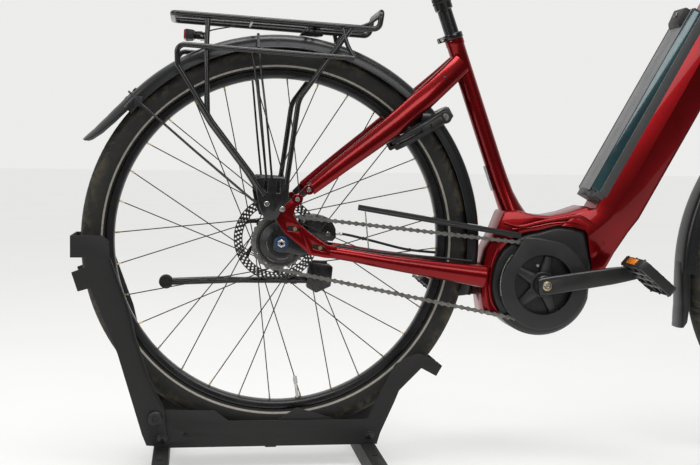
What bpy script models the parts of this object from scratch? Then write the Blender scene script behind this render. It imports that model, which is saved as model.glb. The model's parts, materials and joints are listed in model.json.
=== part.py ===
"""City e-bike with its rear wheel held in a floor stand.

Units are metres, +X points forward, +Y to the rider's left and +Z up.
The bicycle is modelled level, about its rear axle, and carried by one empty that is
tipped nose-down, because the stand lifts only the rear wheel.
"""
import math

import bmesh
import bpy
from mathutils import Matrix, Vector

# ---------------------------------------------------------------- driving dimensions
GAP = 0.0003                  # left between pieces that touch
RUNNING = 0.0005              # left round a shaft that turns

# wheels and their places
TYRE_RADIUS = 0.356
TYRE_WIDTH = 0.047
BEAD_RADIUS = TYRE_RADIUS - 0.045
RIM_DEPTH = 0.0157
RIM_WIDTH = 0.025
WHEELBASE = 1.146
REAR_AXLE_HEIGHT = 0.407      # above the floor, in the stand
DROPOUT_HALF_WIDTH = 0.0675
FRONT_DROPOUT_HALF_WIDTH = 0.050
AXLE_RADIUS = 0.005
SPOKE_COUNT = 32
SPOKE_RADIUS = 0.001
SPOKE_CROSS_TURN = 67.5       # degrees from a spoke's hub hole to its rim hole
HUB_FLANGE_RADIUS = 0.046
HUB_FLANGE_PLACE = 0.0285
FRONT_FLANGE_RADIUS = 0.030
ROTOR_RADIUS = 0.080
ROTOR_THICKNESS = 0.0018
ROTOR_PLACE = 0.052

# drive
BRACKET_X = 0.492
BRACKET_DROP = 0.055
CHAIN_PLACE = 0.044           # the chain's middle, out from the centre plane
CHAIN_PITCH = 0.0127
CHAIN_HEIGHT = 0.0085
CHAIN_WIDTH = 0.0085
SPROCKET_TEETH = 24
CHAINRING_TEETH = 36
CRANK_LENGTH = 0.170
CRANK_ANGLE = 11.0            # degrees above level, pointing forward
CRANK_HEIGHT = 0.033
CRANK_THICKNESS = 0.014
CRANK_PLACE = 0.065           # inner face of the arm
SPINDLE_RADIUS = 0.0100
MOTOR_RADIUS = 0.0975
MOTOR_HALF_WIDTH = 0.037
RING_GUARD_RADIUS = 0.084
RING_GUARD_HOLE = 0.055
RING_GUARD_PLACE = 0.053
RING_GUARD_THICKNESS = 0.003
PEDAL_LENGTH = 0.098
PEDAL_WIDTH = 0.088
PEDAL_HEIGHT = 0.022
PEDAL_TIP = 38.0              # degrees nose-down
PEDAL_STANDOFF = 0.008

# frame
SEAT_ANGLE = 68.0
SEAT_TUBE_RADIUS = 0.0165
SEAT_TUBE_TOP = 0.478         # from the bracket, along the seat tube
SEAT_TUBE_FOOT = 0.153
POST_RADIUS = 0.0136
POST_HEAD_RADIUS = 0.017
POST_HEAD = SEAT_TUBE_TOP + 0.058
POST_TOP = SEAT_TUBE_TOP + 0.140
POST_INSERTED = 0.120
HEAD_ANGLE = 68.5
FORK_RAKE = 0.050
HEAD_TUBE_FOOT = 0.470
HEAD_TUBE_TOP = 0.680
HEAD_TUBE_RADIUS = 0.024
STEERER_RADIUS = 0.0143
DOWN_TUBE_ANGLE = 63.3
DOWN_TUBE_TOP_FACE = 0.484    # the downtube's two faces, as distances from the rear axle
DOWN_TUBE_LOW_FACE = 0.571    # square to the tube's own run
DOWN_TUBE_HALF_WIDTH = 0.0425
CRADLE_HALF_WIDTH = 0.036
BATTERY_CROWN = 0.450
BATTERY_FLOOR = 0.560
BATTERY_START = 0.360
BATTERY_END = 0.765
BATTERY_HALF_WIDTH = 0.0375

# rear carrier and mudguards
GUARD_RADIUS = TYRE_RADIUS + 0.018
GUARD_HALF_WIDTH = 0.031
GUARD_SKIN = 0.0018
RACK_HEIGHT = 0.392
RACK_RAIL_HALF_WIDTH = 0.060
RACK_SIDE_PLACE = 0.075
RACK_TUBE_RADIUS = 0.005
RACK_STRUT_RADIUS = 0.0048

# ring lock
LOCK_ANGLE = 33.0             # the lock's plane against level, in the bicycle
LOCK_X = 0.2482
LOCK_Z = 0.2178
LOCK_INNER = 0.048
LOCK_OUTER = 0.070
LOCK_THICKNESS = 0.022
LOCK_MOUTH = 30.0             # half of the ring's open angle
SHACKLE_CIRCLE = 0.059
SHACKLE_RADIUS = 0.0036

# cockpit and saddle
BAR_HALF_WIDTH = 0.310
BAR_RADIUS = 0.0111
GRIP_RADIUS = 0.0165
GRIP_LENGTH = 0.125
SADDLE_WIDTH = 0.205
SADDLE_THICKNESS = 0.055

# stand
RAIL_PLACE = 0.048            # inner face of the side rails
SHEET = 0.003
FOOT_HALF_LENGTH = 0.210
FOOT_WIDTH = 0.028
FOOT_HEIGHT = 0.035
REAR_FOOT_X = -0.210
FRONT_FOOT_X = 0.165
STAND_BOLT_RADIUS = 0.005
TRAY_HALF_WIDTH = 0.0440

# ---------------------------------------------------------------- derived places
NOSE_DROP = math.asin((REAR_AXLE_HEIGHT - TYRE_RADIUS) / WHEELBASE)
EAR_BACK = -0.369             # the stand's rearmost edge
NOSE = WHEELBASE * math.cos(NOSE_DROP) + TYRE_RADIUS
MIDDLE_X = (EAR_BACK + NOSE) / 2

ORIGIN = Vector((0, 0, 0))
BRACKET = Vector((BRACKET_X, 0, -BRACKET_DROP))
FRONT_AXLE = Vector((WHEELBASE, 0, 0))
SEAT_RUN = Vector((-math.cos(math.radians(SEAT_ANGLE)), 0, math.sin(math.radians(SEAT_ANGLE))))
HEAD_RUN = Vector((-math.cos(math.radians(HEAD_ANGLE)), 0, math.sin(math.radians(HEAD_ANGLE))))
STEER_FOOT = Vector((WHEELBASE - FORK_RAKE / HEAD_RUN.z, 0, 0))
SEAT_FOOT = BRACKET + Vector((-0.008, 0, 0))
DOWN_RUN = Vector((math.cos(math.radians(DOWN_TUBE_ANGLE)), 0, math.sin(math.radians(DOWN_TUBE_ANGLE))))
DOWN_OUT = Vector((DOWN_RUN.z, 0, -DOWN_RUN.x))
RIM_OUTER = BEAD_RADIUS - GAP
RIM_INNER = RIM_OUTER - RIM_DEPTH
SPROCKET_PITCH_RADIUS = CHAIN_PITCH / 2 / math.sin(math.pi / SPROCKET_TEETH)
CHAINRING_PITCH_RADIUS = CHAIN_PITCH / 2 / math.sin(math.pi / CHAINRING_TEETH)
CRANK_RUN = Vector((math.cos(math.radians(CRANK_ANGLE)), 0, math.sin(math.radians(CRANK_ANGLE))))
PEDAL_AXLE = BRACKET + CRANK_RUN * CRANK_LENGTH
LEFT_PEDAL_AXLE = BRACKET - CRANK_RUN * CRANK_LENGTH
LOCK_RUN = Vector((math.cos(math.radians(LOCK_ANGLE)), 0, math.sin(math.radians(LOCK_ANGLE))))
LOCK_UP = Vector((-LOCK_RUN.z, 0, LOCK_RUN.x))
LOCK_CENTRE = Vector((LOCK_X, 0, LOCK_Z))
KICK_PIVOT = Vector((0.080, 0.088, -0.078))


# ---------------------------------------------------------------- general tools
def clear_scene():
    for obj in list(bpy.data.objects):
        bpy.data.objects.remove(obj)


def finish(name, colour, roughness, metallic=0.0):
    made = bpy.data.materials.new(name)
    made.use_nodes = True
    shader = made.node_tree.nodes["Principled BSDF"]
    shader.inputs["Base Color"].default_value = (*colour, 1)
    shader.inputs["Roughness"].default_value = roughness
    shader.inputs["Metallic"].default_value = metallic
    return made


def carrier(name, place, tip=0.0):
    empty = bpy.data.objects.new(name, None)
    bpy.context.collection.objects.link(empty)
    empty.location = place
    empty.rotation_euler = (0, tip, 0)
    return empty


def piece(name, shape, look, holder, pivot=ORIGIN):
    """A named solid whose own origin is its pivot."""
    bmesh.ops.recalc_face_normals(shape, faces=shape.faces)
    bmesh.ops.translate(shape, verts=shape.verts, vec=-Vector(pivot))
    mesh = bpy.data.meshes.new(name)
    shape.to_mesh(mesh)
    shape.free()
    mesh.materials.append(look)
    mesh.shade_smooth()
    mesh.set_sharp_from_angle(angle=math.radians(35))
    made = bpy.data.objects.new(name, mesh)
    bpy.context.collection.objects.link(made)
    made.parent = holder
    made.location = pivot
    return made


def alter(target, shape, operation, self_crossing=False):
    """Cut a helper shape out of a solid, or weld it on."""
    helper = piece(f"{target.name}_{operation.lower()}", shape, target.data.materials[0], target)
    helper.location = -target.location
    helper.hide_render = True
    helper.display_type = "WIRE"
    step = target.modifiers.new(operation.title(), "BOOLEAN")
    step.operation = operation
    step.solver = "EXACT"
    step.use_self = self_crossing
    step.object = helper
    return target


def cut(target, shape):
    return alter(target, shape, "DIFFERENCE")


def weld(target, shape, self_crossing=False):
    return alter(target, shape, "UNION", self_crossing)


def bridge(shape, rings, closed=False):
    """Skin between rings of equal count, with end caps unless closed."""
    loops = [[shape.verts.new(p) for p in ring] for ring in rings]
    count = len(loops[0])
    spans = len(loops) if closed else len(loops) - 1
    for n in range(spans):
        here = loops[n]
        there = loops[(n + 1) % len(loops)]
        for i in range(count):
            j = (i + 1) % count
            shape.faces.new((here[i], here[j], there[j], there[i]))
    if not closed:
        shape.faces.new(loops[0])
        shape.faces.new(loops[-1])


def loft(rings, closed=False):
    shape = bmesh.new()
    bridge(shape, rings, closed)
    return shape


def slab(outline, low, high):
    """An outline in X and Z, extruded along Y."""
    return loft([[Vector((x, y, z)) for x, z in outline] for y in (low, high)])


def mirrored_slab(outline, low, high, side):
    return slab(outline, *sorted((side * low, side * high)))


def block(low, high):
    outline = [(low[0], low[2]), (high[0], low[2]), (high[0], high[2]), (low[0], high[2])]
    return slab(outline, low[1], high[1])


def turned(profile, segments, centre=ORIGIN, run=Vector((0, 1, 0)), start=0.0, sweep=360.0):
    """A profile of (radius, distance along the run), turned about the run."""
    turn = run.to_track_quat("Z", "X").to_matrix().to_4x4()
    place = Matrix.Translation(centre) @ turn
    whole = sweep >= 360.0
    steps = segments if whole else segments + 1
    rings = []
    for n in range(steps):
        angle = math.radians(start + sweep * n / segments)
        across = (math.cos(angle), math.sin(angle))
        rings.append([place @ Vector((r * across[0], r * across[1], h)) for r, h in profile])
    shape = loft(rings, closed=whole)
    bmesh.ops.remove_doubles(shape, verts=shape.verts, dist=1e-7)
    return shape


def washer(inner, outer, low, high, segments, centre=ORIGIN, run=Vector((0, 1, 0)), start=0.0, sweep=360.0):
    profile = [(inner, low), (outer, low), (outer, high), (inner, high)]
    return turned(profile, segments, centre, run, start, sweep)


def rod(start, end, radius, sides=8, tip_radius=None):
    tip_radius = radius if tip_radius is None else tip_radius
    return tube([start, end], [radius, tip_radius], sides)


def tube(path, radius, sides=8, closed=False, flatten=1.0):
    """A round or flattened tube along a path; flatten scales it across Y."""
    path = [Vector(p) for p in path]
    radii = radius if isinstance(radius, list) else [radius] * len(path)
    rings = []
    across = None
    for n, point in enumerate(path):
        before = path[n - 1] if n or closed else point
        after = path[(n + 1) % len(path)] if n < len(path) - 1 or closed else point
        run = (after - before).normalized()
        if across is None:
            across = Vector((0, 1, 0)) if abs(run.y) < 0.9 else Vector((1, 0, 0))
        across = (across - run * across.dot(run)).normalized()
        up = run.cross(across)
        legs = [point - before, after - point]
        bend = math.sqrt(max(0.2, (1 + legs[0].normalized().dot(legs[1].normalized())) / 2)) \
            if legs[0].length and legs[1].length else 1.0
        ring = []
        for i in range(sides):
            angle = 2 * math.pi * (i + 0.5) / sides
            side = across * math.cos(angle) * radii[n] * flatten
            rise = up * math.sin(angle) * radii[n] / bend
            ring.append(point + side + rise)
        rings.append(ring)
    return loft(rings, closed)


def rounded(corners, radius, steps=3, closed=False):
    """A path of straight runs with an arc at each corner."""
    corners = [Vector(c) for c in corners]
    count = len(corners)
    path = []
    for n, corner in enumerate(corners):
        if not closed and n in (0, count - 1):
            path.append(corner)
            continue
        to_last = (corners[n - 1] - corner).normalized()
        to_next = (corners[(n + 1) % count] - corner).normalized()
        half = to_last.angle(to_next) / 2
        back = radius / math.tan(half)
        centre = corner + (to_last + to_next).normalized() * radius / math.sin(half)
        first = corner + to_last * back - centre
        last = corner + to_next * back - centre
        for i in range(steps + 1):
            share = i / steps
            path.append(centre + first.lerp(last, share).normalized() * radius)
    return path


def arc(radius, first, last, steps, centre=(0, 0)):
    angles = [math.radians(first + (last - first) * n / steps) for n in range(steps + 1)]
    return [(centre[0] + radius * math.cos(a), centre[1] + radius * math.sin(a)) for a in angles]


def along_down_tube(distance, depth, y=0.0):
    point = DOWN_RUN * distance + DOWN_OUT * depth
    return Vector((point.x, y, point.z))


def flipped(points, side):
    return [Vector((x, side * y, z)) for x, y, z in points]


# ---------------------------------------------------------------- wheels
def make_tyre(name, axle):
    half = TYRE_WIDTH / 2
    bead = RIM_WIDTH / 2
    tread = TYRE_RADIUS
    side = [(BEAD_RADIUS, bead - 0.001), (BEAD_RADIUS + 0.010, half - 0.001), (BEAD_RADIUS + 0.020, half)]
    side += [(tread - 0.006, half - 0.007)]
    profile = [(r, -y) for r, y in side] + [(tread, 0)] + [(r, y) for r, y in reversed(side)]
    return piece(name, turned(profile, 36, axle), TYRE, BIKE, axle)


def make_rim(name, axle):
    half = RIM_WIDTH / 2
    shoulder = RIM_INNER + 0.006
    profile = [(RIM_OUTER, -half + 0.001), (shoulder, -half), (RIM_INNER, -0.006)]
    profile += [(RIM_INNER, 0.006), (shoulder, half), (RIM_OUTER, half - 0.001)]
    return piece(name, turned(profile, 36, axle), RIM, BIKE, axle)


def spoke_ends(axle, flange, flange_place, number):
    """The hub end and the rim end of one spoke."""
    hub_step = 720 / SPOKE_COUNT
    side = 1 if number % 2 else -1
    pair = number // 2
    lean = 1 if pair % 2 else -1
    hole = math.radians(pair * hub_step + (hub_step / 2 if side > 0 else 0))
    rim = hole + math.radians(lean * SPOKE_CROSS_TURN)
    out = side * (flange_place + (0.003 if lean > 0 else 0.0))
    hub_end = axle + Vector((flange * math.cos(hole), out, flange * math.sin(hole)))
    reach = RIM_INNER - GAP - 0.0012
    rim_end = axle + Vector((reach * math.cos(rim), side * 0.0012, reach * math.sin(rim)))
    return hub_end, rim_end


def make_spokes(name, axle, flange, flange_place):
    band_outer = RIM_INNER - GAP
    band = washer(band_outer - 0.0024, band_outer, -0.0035, 0.0035, 36, axle)
    made = piece(name, band, STEEL, BIKE, axle)
    wires = bmesh.new()
    for number in range(SPOKE_COUNT):
        hub_end, rim_end = spoke_ends(axle, flange, flange_place, number)
        run = (rim_end - hub_end).normalized()
        across = run.cross(Vector((0, 1, 0))).normalized() * SPOKE_RADIUS
        up = run.cross(across)
        corners = [across + up, across - up, -across - up, -across + up]
        bridge(wires, [[hub_end + c for c in corners], [rim_end + c for c in corners]])
    return weld(made, wires, self_crossing=True)


def make_rear_hub():
    bore = AXLE_RADIUS + RUNNING
    flange = HUB_FLANGE_RADIUS - SPOKE_RADIUS - GAP - 0.0006
    barrel = [(bore, -0.0375), (0.034, -0.0375), (flange, -0.030), (flange, -0.026), (0.040, -0.020)]
    barrel += [(0.040, 0.020), (flange, 0.026), (flange, 0.030), (0.024, 0.038),
               (0.022, ROTOR_PLACE - 0.0025)]
    barrel += [(bore, ROTOR_PLACE - 0.0025)]
    return piece("rear_hub", turned(barrel, 20), HUB, BIKE)


def make_rotor(name, axle, place):
    disc = washer(0.0095, ROTOR_RADIUS, place - ROTOR_THICKNESS / 2, place + ROTOR_THICKNESS / 2, 32, axle)
    return piece(name, disc, STEEL, BIKE, axle)


def make_front_hub():
    bore = AXLE_RADIUS + RUNNING
    flange = FRONT_FLANGE_RADIUS - SPOKE_RADIUS - GAP - 0.0006
    barrel = [(bore, -0.044), (0.014, -0.044), (0.014, -0.030), (flange, -0.028), (flange, -0.024)]
    barrel += [(0.016, -0.020), (0.016, 0.014), (flange, 0.018), (flange, 0.022), (0.018, 0.026)]
    barrel += [(0.018, 0.033), (bore, 0.033)]
    return turned(barrel, 18, FRONT_AXLE)


def make_wheels():
    make_tyre("rear_tyre", ORIGIN)
    make_rim("rear_rim", ORIGIN)
    make_spokes("rear_spokes", ORIGIN, HUB_FLANGE_RADIUS, HUB_FLANGE_PLACE)
    make_rear_hub()
    make_rotor("rear_brake_rotor", ORIGIN, ROTOR_PLACE)
    make_tyre("front_tyre", FRONT_AXLE)
    make_rim("front_rim", FRONT_AXLE)
    make_spokes("front_spokes", FRONT_AXLE, FRONT_FLANGE_RADIUS, 0.0215)
    piece("front_hub", make_front_hub(), HUB, BIKE, FRONT_AXLE)
    make_rotor("front_brake_rotor", FRONT_AXLE, 0.0345)


def make_rear_axle():
    inner = DROPOUT_HALF_WIDTH + 0.0066
    nut = [(0, -inner - 0.009), (0.0085, -inner - 0.008), (0.0085, -inner), (AXLE_RADIUS, -inner)]
    profile = nut + [(r, -y) for r, y in reversed(nut)]
    piece("rear_axle", turned(profile, 16), STEEL, BIKE)


def make_gear_changer():
    low = -DROPOUT_HALF_WIDTH + GAP
    bore = AXLE_RADIUS + GAP
    profile = [(bore, low), (0.026, low), (0.037, low + 0.008), (0.038, -0.0500), (bore, -0.0500)]
    piece("gear_changer", turned(profile, 24), BLACK_PLASTIC, BIKE)


# ---------------------------------------------------------------- drive
def chain_path():
    """The chain's pitch line: two wraps joined by the outer tangents."""
    lift = math.degrees(math.atan2(BRACKET.z, BRACKET.x))
    spread = math.degrees(math.asin((CHAINRING_PITCH_RADIUS - SPROCKET_PITCH_RADIUS) / BRACKET.length))
    high = lift + 90 + spread
    low = lift - 90 - spread
    path = arc(SPROCKET_PITCH_RADIUS, high, low + 360, 14)
    path += arc(CHAINRING_PITCH_RADIUS, low, high, 16, (BRACKET.x, BRACKET.z))
    return path


def make_chain():
    path = chain_path()
    rings = []
    for n, here in enumerate(path):
        before = Vector(path[n - 1])
        after = Vector(path[(n + 1) % len(path)])
        run = (after - before).normalized()
        out = Vector((run.y, -run.x)) * CHAIN_HEIGHT / 2
        ring = []
        for up, side in ((1, 1), (1, -1), (-1, -1), (-1, 1)):
            y = -CHAIN_PLACE + side * CHAIN_WIDTH / 2
            ring.append(Vector((here[0] + out.x * up, y, here[1] + out.y * up)))
        rings.append(ring)
    piece("chain", loft(rings, closed=True), STEEL, BIKE)


def make_sprocket():
    outer = SPROCKET_PITCH_RADIUS * math.cos(math.pi / 14) - CHAIN_HEIGHT / 2 - 2 * GAP
    low = -CHAIN_PLACE - 0.0012
    disc = washer(AXLE_RADIUS + RUNNING, outer, low, -0.0378, 28)
    piece("rear_sprocket", disc, STEEL, BIKE)


def make_chainring():
    outer = CHAINRING_PITCH_RADIUS * math.cos(math.pi / 16) - CHAIN_HEIGHT / 2 - 2 * GAP
    disc = washer(0.0185 + GAP, outer, -CHAIN_PLACE - 0.0015, -CHAIN_PLACE + 0.0015, 32, BRACKET)
    piece("chainring", disc, STEEL, BIKE, BRACKET)


def crank_outline(direction):
    """The arm's side outline, from the bracket to the pedal eye."""
    side = Vector((-direction.z, 0, direction.x))
    marks = [(-0.017, 0.4), (-0.010, 0.9), (0.005, 1.0), (0.120, 1.0), (0.148, 0.86), (CRANK_LENGTH, 0.76)]
    marks += [(CRANK_LENGTH + 0.011, 0.45)]
    half = CRANK_HEIGHT / 2
    upper = [BRACKET + direction * a + side * b * half for a, b in marks]
    lower = [BRACKET + direction * a - side * b * half for a, b in reversed(marks)]
    return [(p.x, p.z) for p in upper + lower]


def make_cranks():
    eye = 0.0056
    inner = CRANK_PLACE
    outer = CRANK_PLACE + CRANK_THICKNESS
    for side, direction, name in ((-1, CRANK_RUN, "crank_right"), (1, -CRANK_RUN, "crank_left")):
        arm = piece(name, mirrored_slab(crank_outline(direction), inner, outer, side), CRANK, BIKE, BRACKET)
        far = BRACKET + direction * CRANK_LENGTH
        low, high = sorted((side * (inner - 0.01), side * (outer + 0.01)))
        cut(arm, turned([(0, low), (eye, low), (eye, high), (0, high)], 12, far))
        if side < 0:
            low = -inner - 0.004
            boss = turned([(0, low), (0.0185, low), (0.0185, -0.0385), (0, -0.0385)], 20, BRACKET)
            weld(arm, boss)
            bore = SPINDLE_RADIUS + GAP
            cut(arm, turned([(0, -0.09), (bore, -0.09), (bore, -0.03), (0, -0.03)], 16, BRACKET))
        else:
            boss = turned([(0, 0.0385), (0.0185, 0.0385), (0.0185, inner + 0.004), (0, inner + 0.004)], 20,
                          BRACKET)
            weld(arm, boss)
            spindle = [(0, -outer), (SPINDLE_RADIUS, -outer), (SPINDLE_RADIUS, 0.045), (0, 0.045)]
            weld(arm, turned(spindle, 16, BRACKET))


def pedal_frame(centre, side):
    """A platform: four bars round a spindle tube, about the spindle's middle."""
    half_height = PEDAL_HEIGHT / 2
    low = CRANK_PLACE + CRANK_THICKNESS + PEDAL_STANDOFF
    high = low + PEDAL_LENGTH
    long_half = PEDAL_WIDTH / 2
    body = block((-long_half, low, -half_height), (long_half, high, half_height))
    windows = bmesh.new()
    for x in (-long_half + 0.012, 0.013):
        for y in (low + 0.012, low + PEDAL_LENGTH / 2 + 0.004):
            size = Vector((long_half - 0.025, PEDAL_LENGTH / 2 - 0.016, PEDAL_HEIGHT * 2))
            outline = [(x, -size.z), (x + size.x, -size.z), (x + size.x, size.z), (x, size.z)]
            bridge(windows, [[Vector((a, y + d, b)) for a, b in outline] for d in (0, size.y)])
    turn = Matrix.Translation(centre) @ Matrix.Rotation(math.radians(PEDAL_TIP), 4, "Y")
    if side < 0:
        turn = turn @ Matrix.Rotation(math.pi, 4, "Z")
    for shape in (body, windows):
        bmesh.ops.transform(shape, matrix=turn, verts=shape.verts)
    return body, windows


def make_pedals():
    for side, centre, name in ((-1, PEDAL_AXLE, "pedal_right"), (1, LEFT_PEDAL_AXLE, "pedal_left")):
        body, windows = pedal_frame(centre, side)
        made = piece(name, body, BLACK_PLASTIC, BIKE, centre)
        cut(made, windows)
        low, high = sorted((side * (CRANK_PLACE + 0.002), side * (CRANK_PLACE + CRANK_THICKNESS + 0.02)))
        pin = turned([(0, low), (0.005, low), (0.005, high), (0, high)], 12, centre)
        weld(made, pin)


def motor_outline(grow=0.0):
    radius = MOTOR_RADIUS + grow
    centre = (BRACKET.x, BRACKET.z)
    corners = [(0.5884 + grow, -0.0184), (0.5735 + grow, 0.042), (0.569 + grow, 0.0485 + grow)]
    corners += [(0.545, 0.0540 + grow), (0.520, 0.0547 + grow), (0.500, 0.0490 + grow)]
    return corners + arc(radius, 98, 345, 20, centre)


def make_motor():
    outline = motor_outline()
    motor = piece("motor", slab(outline, -MOTOR_HALF_WIDTH, MOTOR_HALF_WIDTH), BLACK_PLASTIC, BIKE)
    bore = SPINDLE_RADIUS + RUNNING
    far = MOTOR_HALF_WIDTH + 0.01
    cut(motor, turned([(0, -far), (bore, -far), (bore, far), (0, far)], 16, BRACKET))


def make_ring_guard():
    """A fixed ring over the chainring, drawn out to a corner where the chain comes in."""
    centre = (BRACKET.x, BRACKET.z)
    corner = (BRACKET.x - 0.041, BRACKET.z + 0.0865)
    rim = arc(RING_GUARD_RADIUS, 172, 430, 26, centre) + [(centre[0] - 0.010, corner[1] - 0.001), corner]
    outer = -RING_GUARD_PLACE - RING_GUARD_THICKNESS
    guard = piece("chainring_guard", slab(rim, outer, -RING_GUARD_PLACE), BLACK_PLASTIC, BIKE)
    low = outer - 0.01
    hole = RING_GUARD_HOLE
    cut(guard, turned([(0, low), (hole, low), (hole, low + 0.03), (0, low + 0.03)], 28, BRACKET))
    inner = -MOTOR_HALF_WIDTH - GAP
    lip = washer(0.0805, RING_GUARD_RADIUS - 0.0005, outer + 0.001, inner, 8, BRACKET, start=236, sweep=36)
    weld(guard, lip)


def make_chain_guard():
    """The bar above the chain's upper run, with its thin wire strut."""
    rear = Vector((0.1385, 0, 0.0700))
    front = Vector((0.4440, 0, 0.0335))
    run = (front - rear).normalized()
    side = Vector((-run.z, 0, run.x)) * 0.0052
    outline = [rear - side, rear + side, front + side, front - side]
    bar = piece("chain_guard", slab([(p.x, p.z) for p in outline], -0.0515, -0.0395), BLACK_PLASTIC, BIKE)
    weld(bar, rod((0.1515, -0.0505, 0.0670), (0.1600, -0.0555, -0.0040), 0.0015, 6))


# ---------------------------------------------------------------- frame
def along_seat(distance, y=0.0):
    point = SEAT_FOOT + SEAT_RUN * distance
    return Vector((point.x, y, point.z))


def along_steer(distance, y=0.0):
    point = STEER_FOOT + HEAD_RUN * distance
    return Vector((point.x, y, point.z))


def make_seat_tube():
    bore = POST_RADIUS + GAP
    floor = SEAT_TUBE_TOP - POST_INSERTED - 0.06
    outer = SEAT_TUBE_RADIUS
    profile = [(0, SEAT_TUBE_FOOT), (outer, SEAT_TUBE_FOOT), (outer, SEAT_TUBE_TOP), (bore, SEAT_TUBE_TOP)]
    profile += [(bore, floor), (0, floor)]
    piece("seat_tube", turned(profile, 16, SEAT_FOOT, SEAT_RUN), FRAME_PAINT, BIKE)


def make_seat_clamp():
    low = SEAT_TUBE_TOP + GAP
    profile = [(POST_RADIUS + GAP, low), (0.0185, low), (0.0185, low + 0.011),
               (POST_RADIUS + GAP, low + 0.011)]
    clamp = piece("seat_clamp", turned(profile, 16, SEAT_FOOT, SEAT_RUN), BLACK_METAL, BIKE)
    centre = along_seat(low + 0.0055)
    ear = block((-0.0300, -0.008, -0.0050), (-0.0150, 0.008, 0.0050))
    turn = Matrix.Translation(centre) @ Matrix.Rotation(math.radians(SEAT_ANGLE - 90), 4, "Y")
    bmesh.ops.transform(ear, matrix=turn, verts=ear.verts)
    weld(clamp, ear)


def make_seat_post():
    low = SEAT_TUBE_TOP - POST_INSERTED
    profile = [(0, low), (POST_RADIUS, low), (POST_RADIUS, POST_HEAD), (POST_HEAD_RADIUS, POST_HEAD)]
    profile += [(POST_HEAD_RADIUS, POST_TOP), (0, POST_TOP)]
    pivot = along_seat(SEAT_TUBE_TOP)
    piece("seatpost", turned(profile, 16, SEAT_FOOT, SEAT_RUN), BLACK_METAL, BIKE, pivot)


def make_saddle():
    """A wide saddle with rails and a clamp block below."""
    seat = along_seat(POST_TOP + 0.033)
    rings = []
    marks = [(-0.140, 0.55), (-0.120, 0.86), (-0.075, 1.0), (-0.030, 0.90), (0.020, 0.52), (0.070, 0.30)]
    marks += [(0.110, 0.23), (0.122, 0.14)]
    for x, share in marks:
        half = SADDLE_WIDTH / 2 * share
        crown = SADDLE_THICKNESS * (0.62 if x > 0 else 0.80)
        skirt = 0.012 if share > 0.6 else 0.004
        ring = [(-half, skirt), (-half * 0.96, crown * 0.72), (-half * 0.55, crown), (0, crown * 0.98)]
        ring += [(half * 0.55, crown), (half * 0.96, crown * 0.72), (half, skirt), (half * 0.6, 0.0),
                 (-half * 0.6, 0.0)]
        rings.append([seat + Vector((x, y, z)) for y, z in ring])
    saddle = piece("saddle", loft(rings), SADDLE, BIKE, along_seat(SEAT_TUBE_TOP))
    foot = along_seat(POST_TOP + GAP)
    clamp = rod(foot, foot + SEAT_RUN * 0.040, 0.016, 10)
    weld(saddle, clamp)


def make_head_tube():
    bore = STEERER_RADIUS + RUNNING
    outer = HEAD_TUBE_RADIUS
    profile = [(bore, HEAD_TUBE_FOOT), (outer, HEAD_TUBE_FOOT), (outer, HEAD_TUBE_TOP), (bore, HEAD_TUBE_TOP)]
    piece("head_tube", turned(profile, 20, STEER_FOOT, HEAD_RUN), FRAME_PAINT, BIKE)


def meet_head(depth):
    """Where a line along the downtube stops short of the head tube."""
    square = Vector((HEAD_RUN.z, 0, -HEAD_RUN.x))
    stop = square.dot(STEER_FOOT) - HEAD_TUBE_RADIUS - GAP
    reach = (stop - square.dot(DOWN_OUT * depth)) / square.dot(DOWN_RUN)
    return along_down_tube(reach, depth)


def make_down_tube():
    """The large tube with its battery bay, and the cradle that hangs the motor."""
    top = meet_head(DOWN_TUBE_TOP_FACE)
    low = meet_head(DOWN_TUBE_LOW_FACE)
    sill = along_down_tube(0.345, DOWN_TUBE_TOP_FACE)
    knee = along_down_tube(0.356, DOWN_TUBE_LOW_FACE)
    tube_line = [(0.540, 0.080), (sill.x, sill.z), (top.x, top.z), (low.x, low.z), (knee.x, knee.z)]
    tube_line += [(0.6351, 0.0127), (0.6176, -0.0230), (0.560, -0.030), (0.530, 0.020)]
    half = DOWN_TUBE_HALF_WIDTH
    made = piece("down_tube", slab(tube_line, -half, half), FRAME_PAINT, BIKE)
    cradle = [(0.404, -0.120), (0.384, -0.115), (0.3790, -0.080), (0.3780, -0.030), (0.382, 0.004)]
    cradle += [(0.398, 0.045), (0.413, 0.078), (0.532, 0.0803), (0.5694, 0.0949), (0.600, 0.070),
               (0.500, -0.040)]
    weld(made, slab(cradle, -CRADLE_HALF_WIDTH, CRADLE_HALF_WIDTH))
    room = half + 0.01
    cut(made, slab(motor_outline(GAP + 0.0002), -room, room))
    bay = [along_down_tube(s, d) for s, d in (
        (BATTERY_START - GAP, 0.400), (BATTERY_END + GAP, 0.400),
        (BATTERY_END + GAP, BATTERY_FLOOR + GAP), (BATTERY_START - GAP, BATTERY_FLOOR + GAP))]
    wall = BATTERY_HALF_WIDTH + GAP
    cut(made, slab([(p.x, p.z) for p in bay], -wall, wall))


def make_battery():
    crown = BATTERY_CROWN
    ends = [(BATTERY_START, BATTERY_FLOOR), (BATTERY_START, crown + 0.022), (BATTERY_START + 0.012, crown)]
    ends += [(BATTERY_END - 0.006, crown), (BATTERY_END, crown + 0.008), (BATTERY_END, BATTERY_FLOOR)]
    outline = [along_down_tube(s, d) for s, d in ends]
    middle = along_down_tube((BATTERY_START + BATTERY_END) / 2, BATTERY_FLOOR)
    half = BATTERY_HALF_WIDTH
    shape = slab([(p.x, p.z) for p in outline], -half, half)
    battery = piece("battery", shape, BATTERY, BIKE, middle)
    catch = ((-0.045, 0.005), (-0.035, -0.005), (-0.009, -0.0065), (-0.006, 0.005))
    latch = [along_down_tube(BATTERY_END + s, crown + d) for s, d in catch]
    weld(battery, slab([(p.x, p.z) for p in latch], -0.020, 0.020))


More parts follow.
